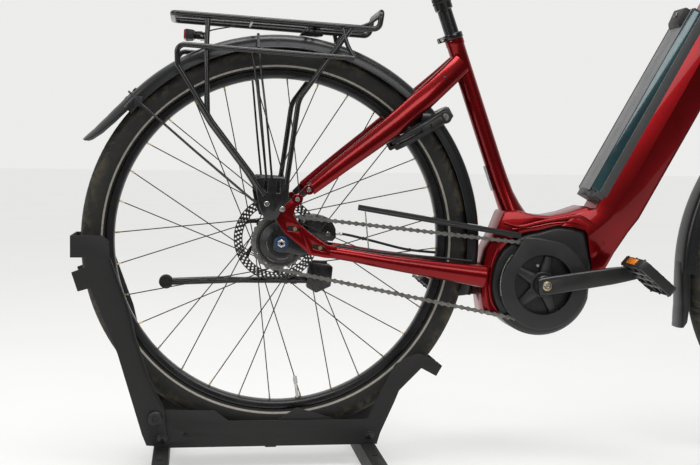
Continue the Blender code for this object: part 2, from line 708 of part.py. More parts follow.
def make_chainstays():
    for side, name in ((-1, "chainstay_right"), (1, "chainstay_left")):
        low = DROPOUT_HALF_WIDTH
        yoke = [(-0.014, -0.012), (0.010, -0.017), (0.040, -0.024), (0.094, -0.026), (0.102, -0.002)]
        yoke += [(0.076, 0.008), (0.040, 0.030), (0.032, 0.058), (0.056, 0.086), (0.044, 0.098)]
        yoke += [(0.012, 0.074), (-0.010, 0.048), (-0.016, 0.012)]
        made = piece(name, mirrored_slab(yoke, low, low + 0.006, side), FRAME_PAINT, BIKE)
        path = flipped([(0.068, 0.0660, -0.011), (0.110, 0.0660, -0.0145), (0.200, 0.0630, -0.0262),
                        (0.290, 0.0545, -0.0360), (0.374, 0.0478, -0.0440)], side)
        weld(made, tube(path, [0.009, 0.0105, 0.0125, 0.016, 0.020], 10, flatten=0.75))
        bore = AXLE_RADIUS + GAP
        far = low + 0.02
        ends = sorted((side * (low - 0.02), side * far))
        cut(made, turned([(0, ends[0]), (bore, ends[0]), (bore, ends[1]), (0, ends[1])], 16))


def make_seatstays():
    for side, name in ((-1, "seatstay_right"), (1, "seatstay_left")):
        path = flipped([(0.0600, 0.0640, 0.1050), (0.100, 0.0620, 0.1430), (0.1891, 0.0520, 0.2186),
                        (0.2450, 0.0440, 0.2710), (0.2900, 0.0290, 0.3150), (0.3180, 0.0160, 0.3440)], side)
        radii = [0.012, 0.0145, 0.0200, 0.0200, 0.0190, 0.0180]
        made = piece(name, tube(path, radii, 10, flatten=0.5), FRAME_PAINT, BIKE)
        cut(made, turned([(0, 0.2), (SEAT_TUBE_RADIUS + GAP, 0.2), (SEAT_TUBE_RADIUS + GAP, 0.5), (0, 0.5)],
                         16,
                         SEAT_FOOT, SEAT_RUN))


# ---------------------------------------------------------------- steering
def make_fork():
    crown = along_steer(HEAD_TUBE_FOOT - 0.018)
    steer_top = HEAD_TUBE_TOP + 0.055
    made = piece("fork", rod(along_steer(HEAD_TUBE_FOOT - 0.02), along_steer(steer_top), STEERER_RADIUS, 16),
                 BLACK_METAL, BIKE, along_steer(HEAD_TUBE_FOOT))
    span = 0.056
    crown_path = rounded([crown + Vector((0, -span, -0.040)), crown + Vector((0, -span, 0)),
                          crown + Vector((0, span, 0)), crown + Vector((0, span, -0.040))], 0.028)
    weld(made, tube(crown_path, 0.0155, 10))
    for side in (-1, 1):
        shoulder = crown + Vector((0.001, side * span, -0.024))
        axle_end = FRONT_AXLE + Vector((0.003, side * (span + 0.001), -0.010))
        weld(made, rod(shoulder, axle_end, 0.0165, 10, 0.0125))
    low = FRONT_DROPOUT_HALF_WIDTH + 0.018
    pin = AXLE_RADIUS
    weld(made, turned([(0, -low), (pin, -low), (pin, low), (0, low)], 12, FRONT_AXLE))


def mudguard(name, axle, first, last, steps):
    """A shallow channel bent round the tyre."""
    crown = GUARD_RADIUS
    half = GUARD_HALF_WIDTH
    outer = [(crown - 0.024, -half), (crown - 0.009, -half * 0.94), (crown - 0.002, -half * 0.62), (crown, 0)]
    outer += [(r, -y) for r, y in reversed(outer[:-1])]
    narrower = 1 - GUARD_SKIN / half
    inner = [(r - (0 if abs(y) > half * 0.99 else GUARD_SKIN), y * narrower) for r, y in reversed(outer)]
    rings = []
    for n in range(steps + 1):
        angle = math.radians(first + (last - first) * n / steps)
        rings.append([axle + Vector((r * math.cos(angle), y, r * math.sin(angle))) for r, y in outer + inner])
    return piece(name, loft(rings), MUDGUARD, BIKE, axle if axle.x else ORIGIN)


def flap(axle, stations):
    """A flexible flap: stations of (angle, radius, half width), hugging the channel's crown."""
    rings = []
    for angle, radius, half in stations:
        turn = math.radians(angle)
        ring = []
        for lift, share in ((-0.006, -1), (0.0, -0.5), (0.001, 0), (0.0, 0.5), (-0.006, 1)):
            r = radius + lift
            ring.append(axle + Vector((r * math.cos(turn), half * share, r * math.sin(turn))))
        for lift, share in ((-0.0085, 1), (-0.0025, 0.5), (-0.0015, 0), (-0.0025, -0.5), (-0.0085, -1)):
            r = radius + lift
            ring.append(axle + Vector((r * math.cos(turn), half * share, r * math.sin(turn))))
        rings.append(ring)
    return loft(rings)


def make_mudguards():
    rear = mudguard("rear_mudguard", ORIGIN, -13, 142, 20)
    near = GUARD_RADIUS
    weld(rear, flap(ORIGIN, [(138, near + 0.0002, 0.026), (146, near + 0.003, 0.032), (152, near + 0.011, 0.036),
                             (155.5, near + 0.020, 0.034)]))
    front = mudguard("front_mudguard", FRONT_AXLE, 62, 184, 14)
    weld(front, flap(FRONT_AXLE, [(181, near + 0.0002, 0.026), (188, near + 0.002, 0.031),
                                  (196, near + 0.009, 0.033), (199.5, near + 0.018, 0.028)]))


def make_stem_and_bar():
    steer_top = HEAD_TUBE_TOP + 0.055
    pivot = along_steer(HEAD_TUBE_FOOT)
    bore = STEERER_RADIUS + GAP
    low = HEAD_TUBE_TOP + GAP
    collar = [(bore, low), (0.020, low), (0.018, low + 0.045), (0.018, steer_top + 0.004),
              (0, steer_top + 0.004)]
    collar += [(0, steer_top + GAP), (bore, steer_top + GAP)]
    stem = piece("stem", turned(collar, 16, STEER_FOOT, HEAD_RUN), BLACK_METAL, BIKE, pivot)
    root = along_steer(steer_top - 0.016) + Vector((0.014, 0, 0.002))
    clamp = root + Vector((0.066, 0, 0.040))
    weld(stem, rod(root, clamp, 0.014, 12))
    weld(stem, turned([(0, -0.024), (0.0195, -0.024), (0.0195, 0.024), (0, 0.024)], 16, clamp))
    steer_room = [(0, HEAD_TUBE_TOP - 0.01), (bore, HEAD_TUBE_TOP - 0.01), (bore, steer_top + GAP),
                  (0, steer_top + GAP)]
    cut(stem, turned(steer_room, 16, STEER_FOOT, HEAD_RUN))
    hold = 0.0161
    cut(stem, turned([(0, -0.05), (hold, -0.05), (hold, 0.05), (0, 0.05)], 16, clamp))
    ends = []
    for side in (-1, 1):
        ends.append([clamp + Vector((x, side * y, z)) for x, y, z in (
            (-0.115, BAR_HALF_WIDTH, 0.036), (-0.020, 0.175, 0.044), (0.0, 0.075, 0.004), (0.0, 0.045, 0.0))])
    path = rounded(ends[0] + list(reversed(ends[1])), 0.030, 3)
    bar = piece("handlebar", tube(path, BAR_RADIUS, 8), BLACK_METAL, BIKE, pivot)
    weld(bar, turned([(0, -0.030), (0.0158, -0.030), (0.0158, 0.030), (0, 0.030)], 16, clamp))
    for end in ends:
        run = (end[0] - end[1]).normalized()
        weld(bar, rod(end[0] - run * GRIP_LENGTH, end[0] + run * 0.004, GRIP_RADIUS, 10))
    return ends


def make_brake_levers(ends):
    for side, end, name in ((-1, ends[0], "brake_lever_right"), (1, ends[1], "brake_lever_left")):
        run = (end[0] - end[1]).normalized()
        ahead = Vector((0.80, 0, -0.60))
        ahead = (ahead - run * ahead.dot(run)).normalized()
        root = end[0] - run * (GRIP_LENGTH + 0.022)
        pivot = root + ahead * 0.030
        blade = [pivot - run * 0.006, pivot + run * 0.022 + ahead * 0.012,
                 pivot + run * 0.060 + ahead * 0.024,
                 pivot + run * 0.108 + ahead * 0.020]
        piece(name, tube(blade, [0.006, 0.0055, 0.005, 0.0055], 8), BLACK_METAL, BIKE, pivot)


# ---------------------------------------------------------------- carrier and small fittings
def make_rack():
    half = RACK_RAIL_HALF_WIDTH
    z = RACK_HEIGHT
    rear = -0.210
    front = 0.155
    loop = [(front, -half, z - 0.002), (rear, -half, z + 0.001), (rear, half, z + 0.001),
            (front, half, z - 0.002),
            (front + 0.004, half, z + 0.030), (front + 0.004, -half, z + 0.030)]
    top = piece("rack_top", tube(rounded(loop, 0.012, 3, closed=True), RACK_TUBE_RADIUS, 6, closed=True),
                BLACK_METAL, BIKE)
    for x in (-0.150, -0.070, 0.045):
        weld(top, rod((x, -half, z), (x, half, z), 0.003, 6))
    reach = z - RACK_TUBE_RADIUS - GAP - 0.001
    for side, name in ((-1, "rack_side_right"), (1, "rack_side_left")):
        place = RACK_SIDE_PLACE
        hoop = rounded([(0.112, 0.070, 0.335), (-0.060, 0.072, 0.3364), (-0.200, place, 0.338),
                        (-0.197, place, 0.302),
                        (-0.1332, place, 0.2077), (-0.0605, 0.076, 0.1206), (-0.034, 0.077, 0.085)], 0.013, 3)
        made = piece(name, tube(flipped(hoop, side), RACK_STRUT_RADIUS, 6), BLACK_METAL, BIKE)
        strut = rounded([(0.1040, 0.0630, reach - 0.006), (0.0169, 0.074, 0.2554), (0.0030, 0.077, 0.108)],
                        0.05, 3)
        weld(made, tube(flipped(strut, side), RACK_STRUT_RADIUS, 6))
        post = [(-0.1480, 0.0610, reach), (-0.1480, 0.0660, 0.330), (-0.1410, 0.075, 0.2200)]
        weld(made, tube(flipped(post, side), RACK_STRUT_RADIUS * 0.9, 6))
        plate = [(-0.048, 0.112), (0.008, 0.112), (0.008, 0.075), (-0.014, 0.052), (-0.036, 0.052)]
        weld(made, mirrored_slab(plate, 0.0745, 0.0795, side))


def make_mudguard_stay():
    """One bent wire: up from the right side, over the mudguard and down the left side."""
    turn = math.radians(138)
    crown = GUARD_RADIUS + 0.003 + GAP
    up = Vector((math.cos(turn), 0, math.sin(turn)))
    half = GUARD_HALF_WIDTH + 0.006
    right = [(-0.052, -0.0700, 0.066), (-0.160, -0.058, 0.155)]
    right += [tuple(up * (crown - 0.030) + Vector((0, -half, 0))), tuple(up * crown + Vector((0, -half, 0)))]
    path = rounded([Vector(p) for p in right] + [Vector((x, -y, z)) for x, y, z in reversed(right)], 0.006, 2)
    piece("mudguard_stay", tube(path, 0.0022, 6), BLACK_METAL, BIKE)


def make_tail_lamp():
    x = -0.1900
    lamp = block((x, -0.024, 0.3520), (x + 0.018, 0.024, 0.3715))
    piece("tail_lamp", lamp, LAMP_RED, BIKE)


def make_ring_lock():
    half = LOCK_THICKNESS / 2
    whole = 360 - 2 * LOCK_MOUTH
    start = lock_start()
    body = piece("ring_lock", washer(LOCK_INNER, LOCK_OUTER, -half, half, 20, LOCK_CENTRE, LOCK_UP, start,
                                     whole),
                 BLACK_PLASTIC, BIKE)
    room = SHACKLE_RADIUS + 0.0010
    cut(body, washer(SHACKLE_CIRCLE - room, SHACKLE_CIRCLE + room, -room, room, 24, LOCK_CENTRE, LOCK_UP,
                     start - 5, whole + 10))
    cut(body, washer(SHACKLE_CIRCLE, LOCK_OUTER + 0.004, -0.0026, 0.0026, 16, LOCK_CENTRE, LOCK_UP,
                     start - 3, 92))


def lock_start():
    """Turned shapes start at this angle when they open towards the axle."""
    turn = LOCK_UP.to_track_quat("Z", "X").to_matrix()
    back = turn.transposed() @ -LOCK_RUN
    return math.degrees(math.atan2(back.y, back.x)) + LOCK_MOUTH


def make_lock_shackle():
    start = lock_start()
    turn = LOCK_UP.to_track_quat("Z", "X").to_matrix()
    path = []
    for n in range(13):
        angle = math.radians(start + 4 + 84 * n / 12)
        path.append(LOCK_CENTRE + turn @ Vector((math.cos(angle), math.sin(angle), 0)) * SHACKLE_CIRCLE)
    made = piece("lock_shackle", tube(path, SHACKLE_RADIUS, 8), STEEL, BIKE, LOCK_CENTRE)
    tab = washer(SHACKLE_CIRCLE, LOCK_OUTER + 0.008, -0.0021, 0.0021, 3, LOCK_CENTRE, LOCK_UP, start + 70, 14)
    weld(made, tab)


def make_rear_caliper():
    outline = [(0.036, 0.048), (0.040, 0.006), (0.100, -0.001), (0.112, 0.006), (0.112, 0.024),
               (0.098, 0.050)]
    made = piece("rear_brake_caliper", slab(outline, 0.0410, 0.0665), BLACK_METAL, BIKE)
    low = ROTOR_PLACE - ROTOR_THICKNESS / 2 - 0.0006
    high = ROTOR_PLACE + ROTOR_THICKNESS / 2 + 0.0006
    cut(made, turned([(0, low), (ROTOR_RADIUS + 0.002, low), (ROTOR_RADIUS + 0.002, high), (0, high)], 32))


def smooth_route(points, steps):
    """A smooth curve through a cable's own points."""
    points = [Vector(p) for p in points]
    ends = [points[0] * 2 - points[1]] + points + [points[-1] * 2 - points[-2]]
    path = []
    for n in range(1, len(ends) - 2):
        a, b, c, d = ends[n - 1:n + 3]
        for i in range(steps):
            t = i / steps
            path.append(0.5 * ((2 * b) + (c - a) * t + (2 * a - 5 * b + 4 * c - d) * t * t
                               + (3 * b - a - 3 * c + d) * t ** 3))
    return path + [points[-1]]


def make_cable(name, route, radius):
    curve = bpy.data.curves.new(name, "CURVE")
    curve.dimensions = "3D"
    curve.bevel_depth = radius
    curve.bevel_resolution = 2
    curve.render_resolution_u = 0
    curve.use_fill_caps = True
    points = smooth_route(route, 4)
    line = curve.splines.new("POLY")
    line.points.add(len(points) - 1)
    for spot, point in zip(line.points, points):
        spot.co = (*point, 1)
    curve.materials.append(CABLE)
    made = bpy.data.objects.new(name, curve)
    bpy.context.collection.objects.link(made)
    made.parent = BIKE


REAR_BRAKE_ROUTE = [(0.1130, 0.0600, 0.0150), (0.140, 0.0610, 0.0120), (0.187, 0.0600, 0.0030),
                    (0.250, 0.0540, -0.0090), (0.310, 0.0470, -0.0120), (0.355, 0.0440, -0.0140)]
SHIFT_ROUTE = [(0.0360, -0.0570, -0.0170), (0.060, -0.0560, -0.0080), (0.100, -0.0540, -0.0020),
               (0.160, -0.0530, -0.0080), (0.230, -0.0510, -0.0120), (0.300, -0.0460, -0.0150),
               (0.355, -0.0440, -0.0180)]


def make_kickstand():
    clamp = [(0.066, -0.0430), (0.112, -0.0480), (0.110, -0.088), (0.082, -0.102), (0.062, -0.092)]
    bracket = piece("kickstand_bracket", slab(clamp, 0.058, 0.0785), BLACK_METAL, BIKE)
    weld(bracket, slab([(0.072, -0.0385), (0.100, -0.0385), (0.100, -0.06), (0.072, -0.06)], 0.060, 0.070))
    foot = Vector((-0.2016, 0.094, -0.0950))
    root = KICK_PIVOT
    path = [root + Vector((0.014, 0.001, 0)), root, Vector((-0.055, 0.089, -0.0850)),
            Vector((-0.100, 0.090, -0.0870))]
    path.append(foot + Vector((0.004, 0, 0)))
    leg = piece("kickstand_leg", tube(path, [0.0090, 0.0080, 0.0058, 0.0072, 0.0072], 10), BLACK_METAL, BIKE,
                KICK_PIVOT)
    pad = [(0.0, foot.y - 0.009), (0.0110, foot.y - 0.009), (0.0135, foot.y - 0.006),
           (0.0135, foot.y + 0.006),
           (0.0110, foot.y + 0.009), (0.0, foot.y + 0.009)]
    weld(leg, turned(pad, 16, Vector((foot.x, 0, foot.z))))


# ---------------------------------------------------------------- stand
def make_stand():
    rail = [(-0.222, -0.3705), (0.181, -0.3705), (0.187, -0.350), (0.213, -0.292), (0.221, -0.272),
            (0.262, -0.231),
            (0.290, -0.246), (0.301, -0.227), (0.277, -0.211), (0.268, -0.2075), (0.257, -0.203),
            (0.235, -0.211),
            (0.213, -0.223), (0.197, -0.254), (0.176, -0.294), (0.163, -0.324), (-0.090, -0.323),
            (-0.115, -0.304),
            (-0.204, -0.301), (-0.228, -0.316), (-0.232, -0.345)]
    arm = [(-0.226, -0.3655), (-0.2415, -0.345), (-0.287, -0.199), (-0.304, -0.156), (-0.335, -0.082),
           (-0.356, -0.088),
           (-0.367, -0.056), (-0.3245, -0.045), (-0.320, -0.0365), (-0.3245, -0.028), (EAR_BACK, -0.028),
           (EAR_BACK, 0.011),
           (-0.312, 0.011), (-0.302, 0.001), (-0.301, -0.028), (-0.291, -0.050), (-0.266, -0.124),
           (-0.256, -0.170),
           (-0.248, -0.196), (-0.231, -0.245), (-0.205, -0.295), (-0.200, -0.352), (-0.222, -0.366)]
    bolts = [(-0.220, -0.316), (-0.208, -0.352), (0.167, -0.352)]
    inner = RAIL_PLACE
    outer = RAIL_PLACE + SHEET
    far = outer + GAP + SHEET
    for side, word in ((-1, "right"), (1, "left")):
        made = piece(f"stand_rail_{word}", mirrored_slab(rail, inner, outer, side), STAND_PAINT, STAND)
        tab = [(0.262, -0.231), (0.290, -0.246), (0.301, -0.227), (0.277, -0.211)]
        weld(made, mirrored_slab([tab[1], tab[2], (0.2985, -0.2256), (0.2875, -0.2446)], 0.006,
                                 outer - 0.001, side))
        back = piece(f"stand_rear_arm_{word}", mirrored_slab(arm, outer + GAP, far, side), STAND_PAINT, STAND)
        reach = (0.006, far - 0.001)
        weld(back, mirrored_slab([(EAR_BACK, -0.028), (EAR_BACK + SHEET, -0.028), (EAR_BACK + SHEET, 0.011),
                                  (EAR_BACK, 0.011)], *reach, side))
        for number, plate in ((0, made), (1, made), (2, made), (0, back), (1, back)):
            x, z = bolts[number]
            hole = STAND_BOLT_RADIUS + GAP
            low, high = sorted((side * 0.040, side * 0.070))
            cut(plate, turned([(0, low), (hole, low), (hole, high), (0, high)], 12, Vector((x, 0, z))))
    x, z = bolts[0]
    head = far + GAP
    half = [(0, -head - 0.006), (0.0135, -head - 0.005), (0.0135, -head), (STAND_BOLT_RADIUS, -head)]
    half += [(STAND_BOLT_RADIUS, -RAIL_PLACE + GAP), (0.008, -RAIL_PLACE + GAP)]
    profile = half + [(r, -y) for r, y in reversed(half)]
    centre = Vector((x, 0, z))
    piece("stand_cross_bolt", turned(profile, 16, centre), BLACK_METAL, STAND)
    floor = -TYRE_RADIUS - GAP
    half = TRAY_HALF_WIDTH
    tray = piece("wheel_tray", block((-0.185, -half, floor - SHEET), (0.140, half, floor)), STAND_PAINT,
                 STAND)
    fin = [(0.000, floor - 0.002), (0.101, floor - 0.002), (0.101, -0.323), (0.034, -0.302), (0.000, -0.323)]
    for side in (-1, 1):
        weld(tray, mirrored_slab(fin, half - SHEET, half, side))
    weld(tray, block((-0.023, -0.030, -0.378), (-0.002, 0.030, floor - 0.001)))
    top = -REAR_AXLE_HEIGHT + FOOT_HEIGHT
    for x, word in ((REAR_FOOT_X, "rear"), (FRONT_FOOT_X, "front")):
        low = (x - FOOT_WIDTH / 2, -FOOT_HALF_LENGTH, -REAR_AXLE_HEIGHT)
        foot = piece(f"stand_foot_{word}", block(low, (x + FOOT_WIDTH / 2, FOOT_HALF_LENGTH, top)),
                     STAND_PAINT, STAND)
        holes = bmesh.new()
        for y in (-0.125, 0.125):
            ring = [Vector((x + px, y + py, 0)) for px, py in arc(0.0045, 0, 330, 11)]
            bridge(holes, [[p + Vector((0, 0, h)) for p in ring] for h in (-0.5, -0.2)])
        cut(foot, holes)


# ---------------------------------------------------------------- the whole object
clear_scene()

FRAME_PAINT = finish("frame_paint", (0.28, 0.004, 0.012), 0.22, 0.6)
BLACK_METAL = finish("black_metal", (0.018, 0.018, 0.019), 0.38, 0.2)
BLACK_PLASTIC = finish("black_plastic", (0.022, 0.022, 0.023), 0.5)
MUDGUARD = finish("mudguard_plastic", (0.030, 0.034, 0.036), 0.45)
TYRE = finish("tyre_rubber", (0.030, 0.029, 0.026), 0.8)
RIM = finish("rim_black", (0.016, 0.016, 0.017), 0.35, 0.3)
STEEL = finish("bright_steel", (0.55, 0.55, 0.56), 0.3, 1.0)
HUB = finish("hub_black", (0.02, 0.02, 0.022), 0.35, 0.4)
CRANK = finish("crank_grey", (0.045, 0.046, 0.048), 0.4, 0.5)
SADDLE = finish("saddle_cover", (0.025, 0.025, 0.026), 0.6)
BATTERY = finish("battery_case", (0.30, 0.31, 0.31), 0.45)
LAMP_RED = finish("lamp_red", (0.35, 0.01, 0.01), 0.2)
CABLE = finish("cable_jacket", (0.015, 0.015, 0.015), 0.5)
STAND_PAINT = finish("stand_powder_coat", (0.020, 0.020, 0.020), 0.6)

BIKE = carrier("bicycle", (-MIDDLE_X, 0, REAR_AXLE_HEIGHT), NOSE_DROP)
STAND = carrier("stand", (-MIDDLE_X, 0, REAR_AXLE_HEIGHT))

make_wheels()
make_rear_axle()
make_gear_changer()
make_chain()
make_sprocket()
make_chainring()
make_cranks()
make_pedals()
make_motor()
make_ring_guard()
make_chain_guard()
make_seat_tube()
make_seat_clamp()
make_seat_post()
make_saddle()
make_head_tube()
make_down_tube()
make_battery()
make_chainstays()
make_seatstays()
make_fork()
make_mudguards()
make_brake_levers(make_stem_and_bar())
make_rack()
make_mudguard_stay()
make_tail_lamp()
make_ring_lock()
make_lock_shackle()
make_rear_caliper()
make_cable("rear_brake_hose", REAR_BRAKE_ROUTE, 0.0025)
make_cable("shift_cable", SHIFT_ROUTE, 0.0023)
make_kickstand()
make_stand()
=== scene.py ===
"""Looks of a city e-bike whose rear wheel is held in a floor stand.

The bicycle's pieces are made in its own level axes: from the rear axle, X forward,
Y to the rider's left, Z up, in metres. One matrix then tips them nose-down as they stand.
"""
import json
from math import asin, atan2, copysign, cos, degrees, exp, hypot, pi, radians, sin, tan

import bmesh
import bpy
from mathutils import Matrix, Vector


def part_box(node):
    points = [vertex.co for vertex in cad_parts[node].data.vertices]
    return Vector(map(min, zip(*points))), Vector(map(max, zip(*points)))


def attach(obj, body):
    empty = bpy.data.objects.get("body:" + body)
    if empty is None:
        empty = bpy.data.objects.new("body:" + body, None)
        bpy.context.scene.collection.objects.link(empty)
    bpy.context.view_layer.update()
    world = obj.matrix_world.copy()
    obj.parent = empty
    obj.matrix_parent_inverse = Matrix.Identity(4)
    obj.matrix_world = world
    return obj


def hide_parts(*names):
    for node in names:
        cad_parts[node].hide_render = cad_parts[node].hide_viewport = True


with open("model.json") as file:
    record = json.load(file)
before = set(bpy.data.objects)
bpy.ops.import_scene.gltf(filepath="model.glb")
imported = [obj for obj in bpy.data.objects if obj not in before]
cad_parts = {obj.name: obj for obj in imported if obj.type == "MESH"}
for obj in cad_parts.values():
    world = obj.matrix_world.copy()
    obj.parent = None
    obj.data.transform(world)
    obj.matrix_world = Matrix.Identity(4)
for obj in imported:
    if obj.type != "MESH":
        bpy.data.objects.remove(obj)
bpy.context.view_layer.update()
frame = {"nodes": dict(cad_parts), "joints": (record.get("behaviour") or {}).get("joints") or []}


# ---------------------------------------------------------------- places read from the frame
def centre_of(node):
    low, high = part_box(node)
    return (low + high) / 2


def joint(name):
    return next(j for j in frame["joints"] if j["name"] == name)


REAR = centre_of("rear_tyre")
FRONT = centre_of("front_tyre")
NOSE_DROP = atan2(REAR.z - FRONT.z, FRONT.x - REAR.x)
LEVEL = Matrix.Translation(REAR) @ Matrix.Rotation(NOSE_DROP, 4, "Y")
STANDING = Matrix.Translation(REAR)
TO_LEVEL = LEVEL.inverted()


def reach(node, centre):
    """How far a node's mesh goes from an axle that runs along Y."""
    return max(hypot(v.co.x - centre.x, v.co.z - centre.z) for v in frame["nodes"][node].data.vertices)


ORIGIN = Vector((0, 0, 0))
SIDES = ((-1, "right"), (1, "left"))
FRONT_AXLE = TO_LEVEL @ FRONT
BRACKET = TO_LEVEL @ Vector(joint("crank_spin")["pos_m"])
PEDAL_AXLE = TO_LEVEL @ Vector(joint("pedal_right_spin")["pos_m"])
KICK_PIVOT = TO_LEVEL @ Vector(joint("kickstand_fold")["pos_m"])
LOCK_CENTRE = TO_LEVEL @ Vector(joint("lock_close")["pos_m"])
HEAD_RUN = (TO_LEVEL.to_3x3() @ Vector(joint("steer")["axis"])).normalized()
SEAT_RUN = (TO_LEVEL.to_3x3() @ Vector(joint("seat_height")["axis"])).normalized()
LOCK_UP = (TO_LEVEL.to_3x3() @ Vector(joint("lock_close")["axis"])).normalized()
BATTERY_OUT = (TO_LEVEL.to_3x3() @ Vector(joint("battery_release")["axis"])).normalized()
STEER_FOOT = TO_LEVEL @ Vector(joint("steer")["pos_m"])
DOWN_OUT = -BATTERY_OUT
DOWN_RUN = Vector((-DOWN_OUT.z, 0, DOWN_OUT.x))

# ---------------------------------------------------------------- sizes
TYRE_RADIUS = reach("rear_tyre", REAR)
TYRE_HALF = (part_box("rear_tyre")[1].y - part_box("rear_tyre")[0].y) / 2
RIM_OUTER = reach("rear_rim", REAR)
RIM_INNER = RIM_OUTER - 0.0157
RIM_HALF = 0.0125
# Radius of the pale line painted on the tyre by the rim's edge: a painted highlight.
RIM_EDGE_HIGHLIGHT_RADIUS = 0.3168
SPOKES = 32
SPOKE_CROSS = radians(67.5)
ROTOR_RADIUS = reach("rear_brake_rotor", REAR)
ROTOR_PLACE = 0.052
CHAIN_PITCH = 0.0127
CHAIN_PLACE = -0.044
SPROCKET_TEETH = 24
CHAINRING_TEETH = 36
CRANK_INNER = 0.065
CRANK_OUTER = 0.079
CRANK_LENGTH = (PEDAL_AXLE - BRACKET).length
SEAT_TUBE_RADIUS = 0.0165
SEAT_TUBE_TOP = 0.478
HEAD_RADIUS = 0.024
HEAD_LENGTH = 0.21
GUARD_RADIUS = 0.374
GUARD_HALF = 0.031
DOWN_TOP_FACE = 0.484
DOWN_LOW_FACE = 0.571
BATTERY_CROWN = 0.45
LID_CROWN = BATTERY_CROWN + 0.0055
BATTERY_START = 0.36
BATTERY_END = 0.765
RACK_HEIGHT = 0.392
FRAME_LEAN = radians(-22)
RIVET_RADIUS = 0.3745


# ---------------------------------------------------------------- node wiring
class Signal:
    """A socket that can be used in sums."""

    def __init__(self, wiring, socket):
        self.wiring = wiring
        self.socket = socket

    def then(self, operation, *others):
        return self.wiring.maths(operation, self, *others)

    def __add__(self, other):
        return self.wiring.maths("ADD", self, other)

    def __radd__(self, other):
        return self.wiring.maths("ADD", other, self)

    def __sub__(self, other):
        return self.wiring.maths("SUBTRACT", self, other)

    def __rsub__(self, other):
        return self.wiring.maths("SUBTRACT", other, self)

    def __mul__(self, other):
        return self.wiring.maths("MULTIPLY", self, other)

    def __rmul__(self, other):
        return self.wiring.maths("MULTIPLY", other, self)

    def __truediv__(self, other):
        return self.wiring.maths("DIVIDE", self, other)

    def __rtruediv__(self, other):
        return self.wiring.maths("DIVIDE", other, self)


class Wiring:
    """Nodes of one tree, made from a type, its settings and its sockets' values or links."""

    def __init__(self, tree):
        self.tree = tree

    def feed(self, socket, value):
        if isinstance(value, Signal):
            self.tree.links.new(value.socket, socket)
        else:
            socket.default_value = value

    def node(self, kind, settings=None, inputs=None, output=0):
        made = self.tree.nodes.new(kind)
        for key, value in (settings or {}).items():
            if key == "stops":
                self.fill_ramp(made.color_ramp, value)
            else:
                setattr(made, key, value)
        for key, value in (inputs or {}).items():
            self.feed(made.inputs[key], value)
        return Signal(self, made.outputs[output])

    def fill_ramp(self, ramp, stops):
        while len(ramp.elements) < len(stops):
            ramp.elements.new(1.0)
        for element, (place, colour) in zip(ramp.elements, stops):
            element.position = place
            element.color = colour

    def maths(self, operation, *values):
        return self.node("ShaderNodeMath", {"operation": operation}, dict(enumerate(values)))


class Finish(Wiring):
    """A material's wiring round its Principled shader."""

    def __init__(self, name, colour, roughness, metallic=0.0, coat=0.0, coat_roughness=0.05, specular=0.5):
        self.material = bpy.data.materials.new(name)
        self.material.use_nodes = True
        super().__init__(self.material.node_tree)
        self.shader = self.tree.nodes["Principled BSDF"]
        self.set("Base Color", (*colour, 1))
        self.set("Roughness", roughness)
        self.set("Metallic", metallic)
        self.set("Coat Weight", coat)
        self.set("Coat Roughness", coat_roughness)
        self.set("Specular IOR Level", specular)

    def set(self, socket, value):
        self.feed(self.shader.inputs[socket], value)

    def place(self, centre=(0, 0, 0), turn=(0, 0, 0)):
        """A point of the piece, measured from a centre and along turned axes."""
        where = self.node("ShaderNodeTexCoord", output="Object")
        moved = self.node("ShaderNodeVectorMath", {"operation": "SUBTRACT"}, {0: where, 1: tuple(centre)})
        if not any(turn):
            return moved
        return self.node("ShaderNodeMapping", {"vector_type": "TEXTURE"}, {"Vector": moved, "Rotation": turn})

    def noise(self, scale, detail=2.0, roughness=0.5, where=None, distortion=0.0):
        inputs = {"Scale": scale, "Detail": detail, "Roughness": roughness, "Distortion": distortion}
        inputs["Vector"] = where if where else self.place()
        return self.node("ShaderNodeTexNoise", None, inputs)

    def ramp(self, value, low, high):
        """Nought below one value, one above another."""
        return self.node("ShaderNodeMapRange", {"interpolation_type": "SMOOTHSTEP"},
                         {"Value": value, "From Min": low, "From Max": high})

    def mix(self, share, first, second):
        settings = {"data_type": "RGBA"}
        made = self.tree.nodes.new("ShaderNodeMix")
        for key, value in settings.items():
            setattr(made, key, value)
        for key, value in ((0, share), (6, first), (7, second)):
            self.feed(made.inputs[key], value if isinstance(value, (Signal, float)) else (*value, 1))
        return Signal(self, made.outputs[2])

    def bump(self, height, strength, distance=0.001):
        bumped = self.node("ShaderNodeBump", None, {"Height": height, "Strength": strength,
                                                    "Distance": distance})
        self.set("Normal", bumped)
        return self

    def grain(self, scale, strength, distance=0.0004):
        return self.bump(self.noise(scale, 3.0, 0.6), strength, distance)

    def wear(self, low, high, scale=30.0):
        """Roughness that drifts between two values."""
        drift = self.ramp(self.noise(scale, 4.0, 0.6), 0.35, 0.7)
        self.set("Roughness", low + drift * (high - low))
        return self


def radius_from(recipe, centre, turn=(0, 0, 0)):
    """Distance from an axle that runs along Y, and the place it was read from."""
    where = recipe.place(centre, turn)
    parts = recipe.tree.nodes.new("ShaderNodeSeparateXYZ")
    recipe.feed(parts.inputs[0], where)
    x, y, z = (Signal(recipe, parts.outputs[n]) for n in range(3))
    return (x * x + z * z).then("SQRT"), x, y, z


# ---------------------------------------------------------------- finishes
def candy_red():
    red = Finish("candy_red_paint", (0.21, 0.001, 0.004), 0.24, 0.85, 0.35, 0.04)
    flakes = red.ramp(red.noise(4200.0, 1.0), 0.45, 0.75)
    cloud = red.ramp(red.noise(9.0, 2.0), 0.3, 0.75)
    deep = red.mix(cloud, (0.185, 0.0003, 0.0018), (0.245, 0.0006, 0.003))
    red.set("Base Color", red.mix(flakes * 0.16, deep, (0.32, 0.002, 0.007)))
    red.set("Roughness", 0.27 + flakes * 0.05)
    return red.bump(red.noise(40.0, 1.0), 0.04, 0.001).material


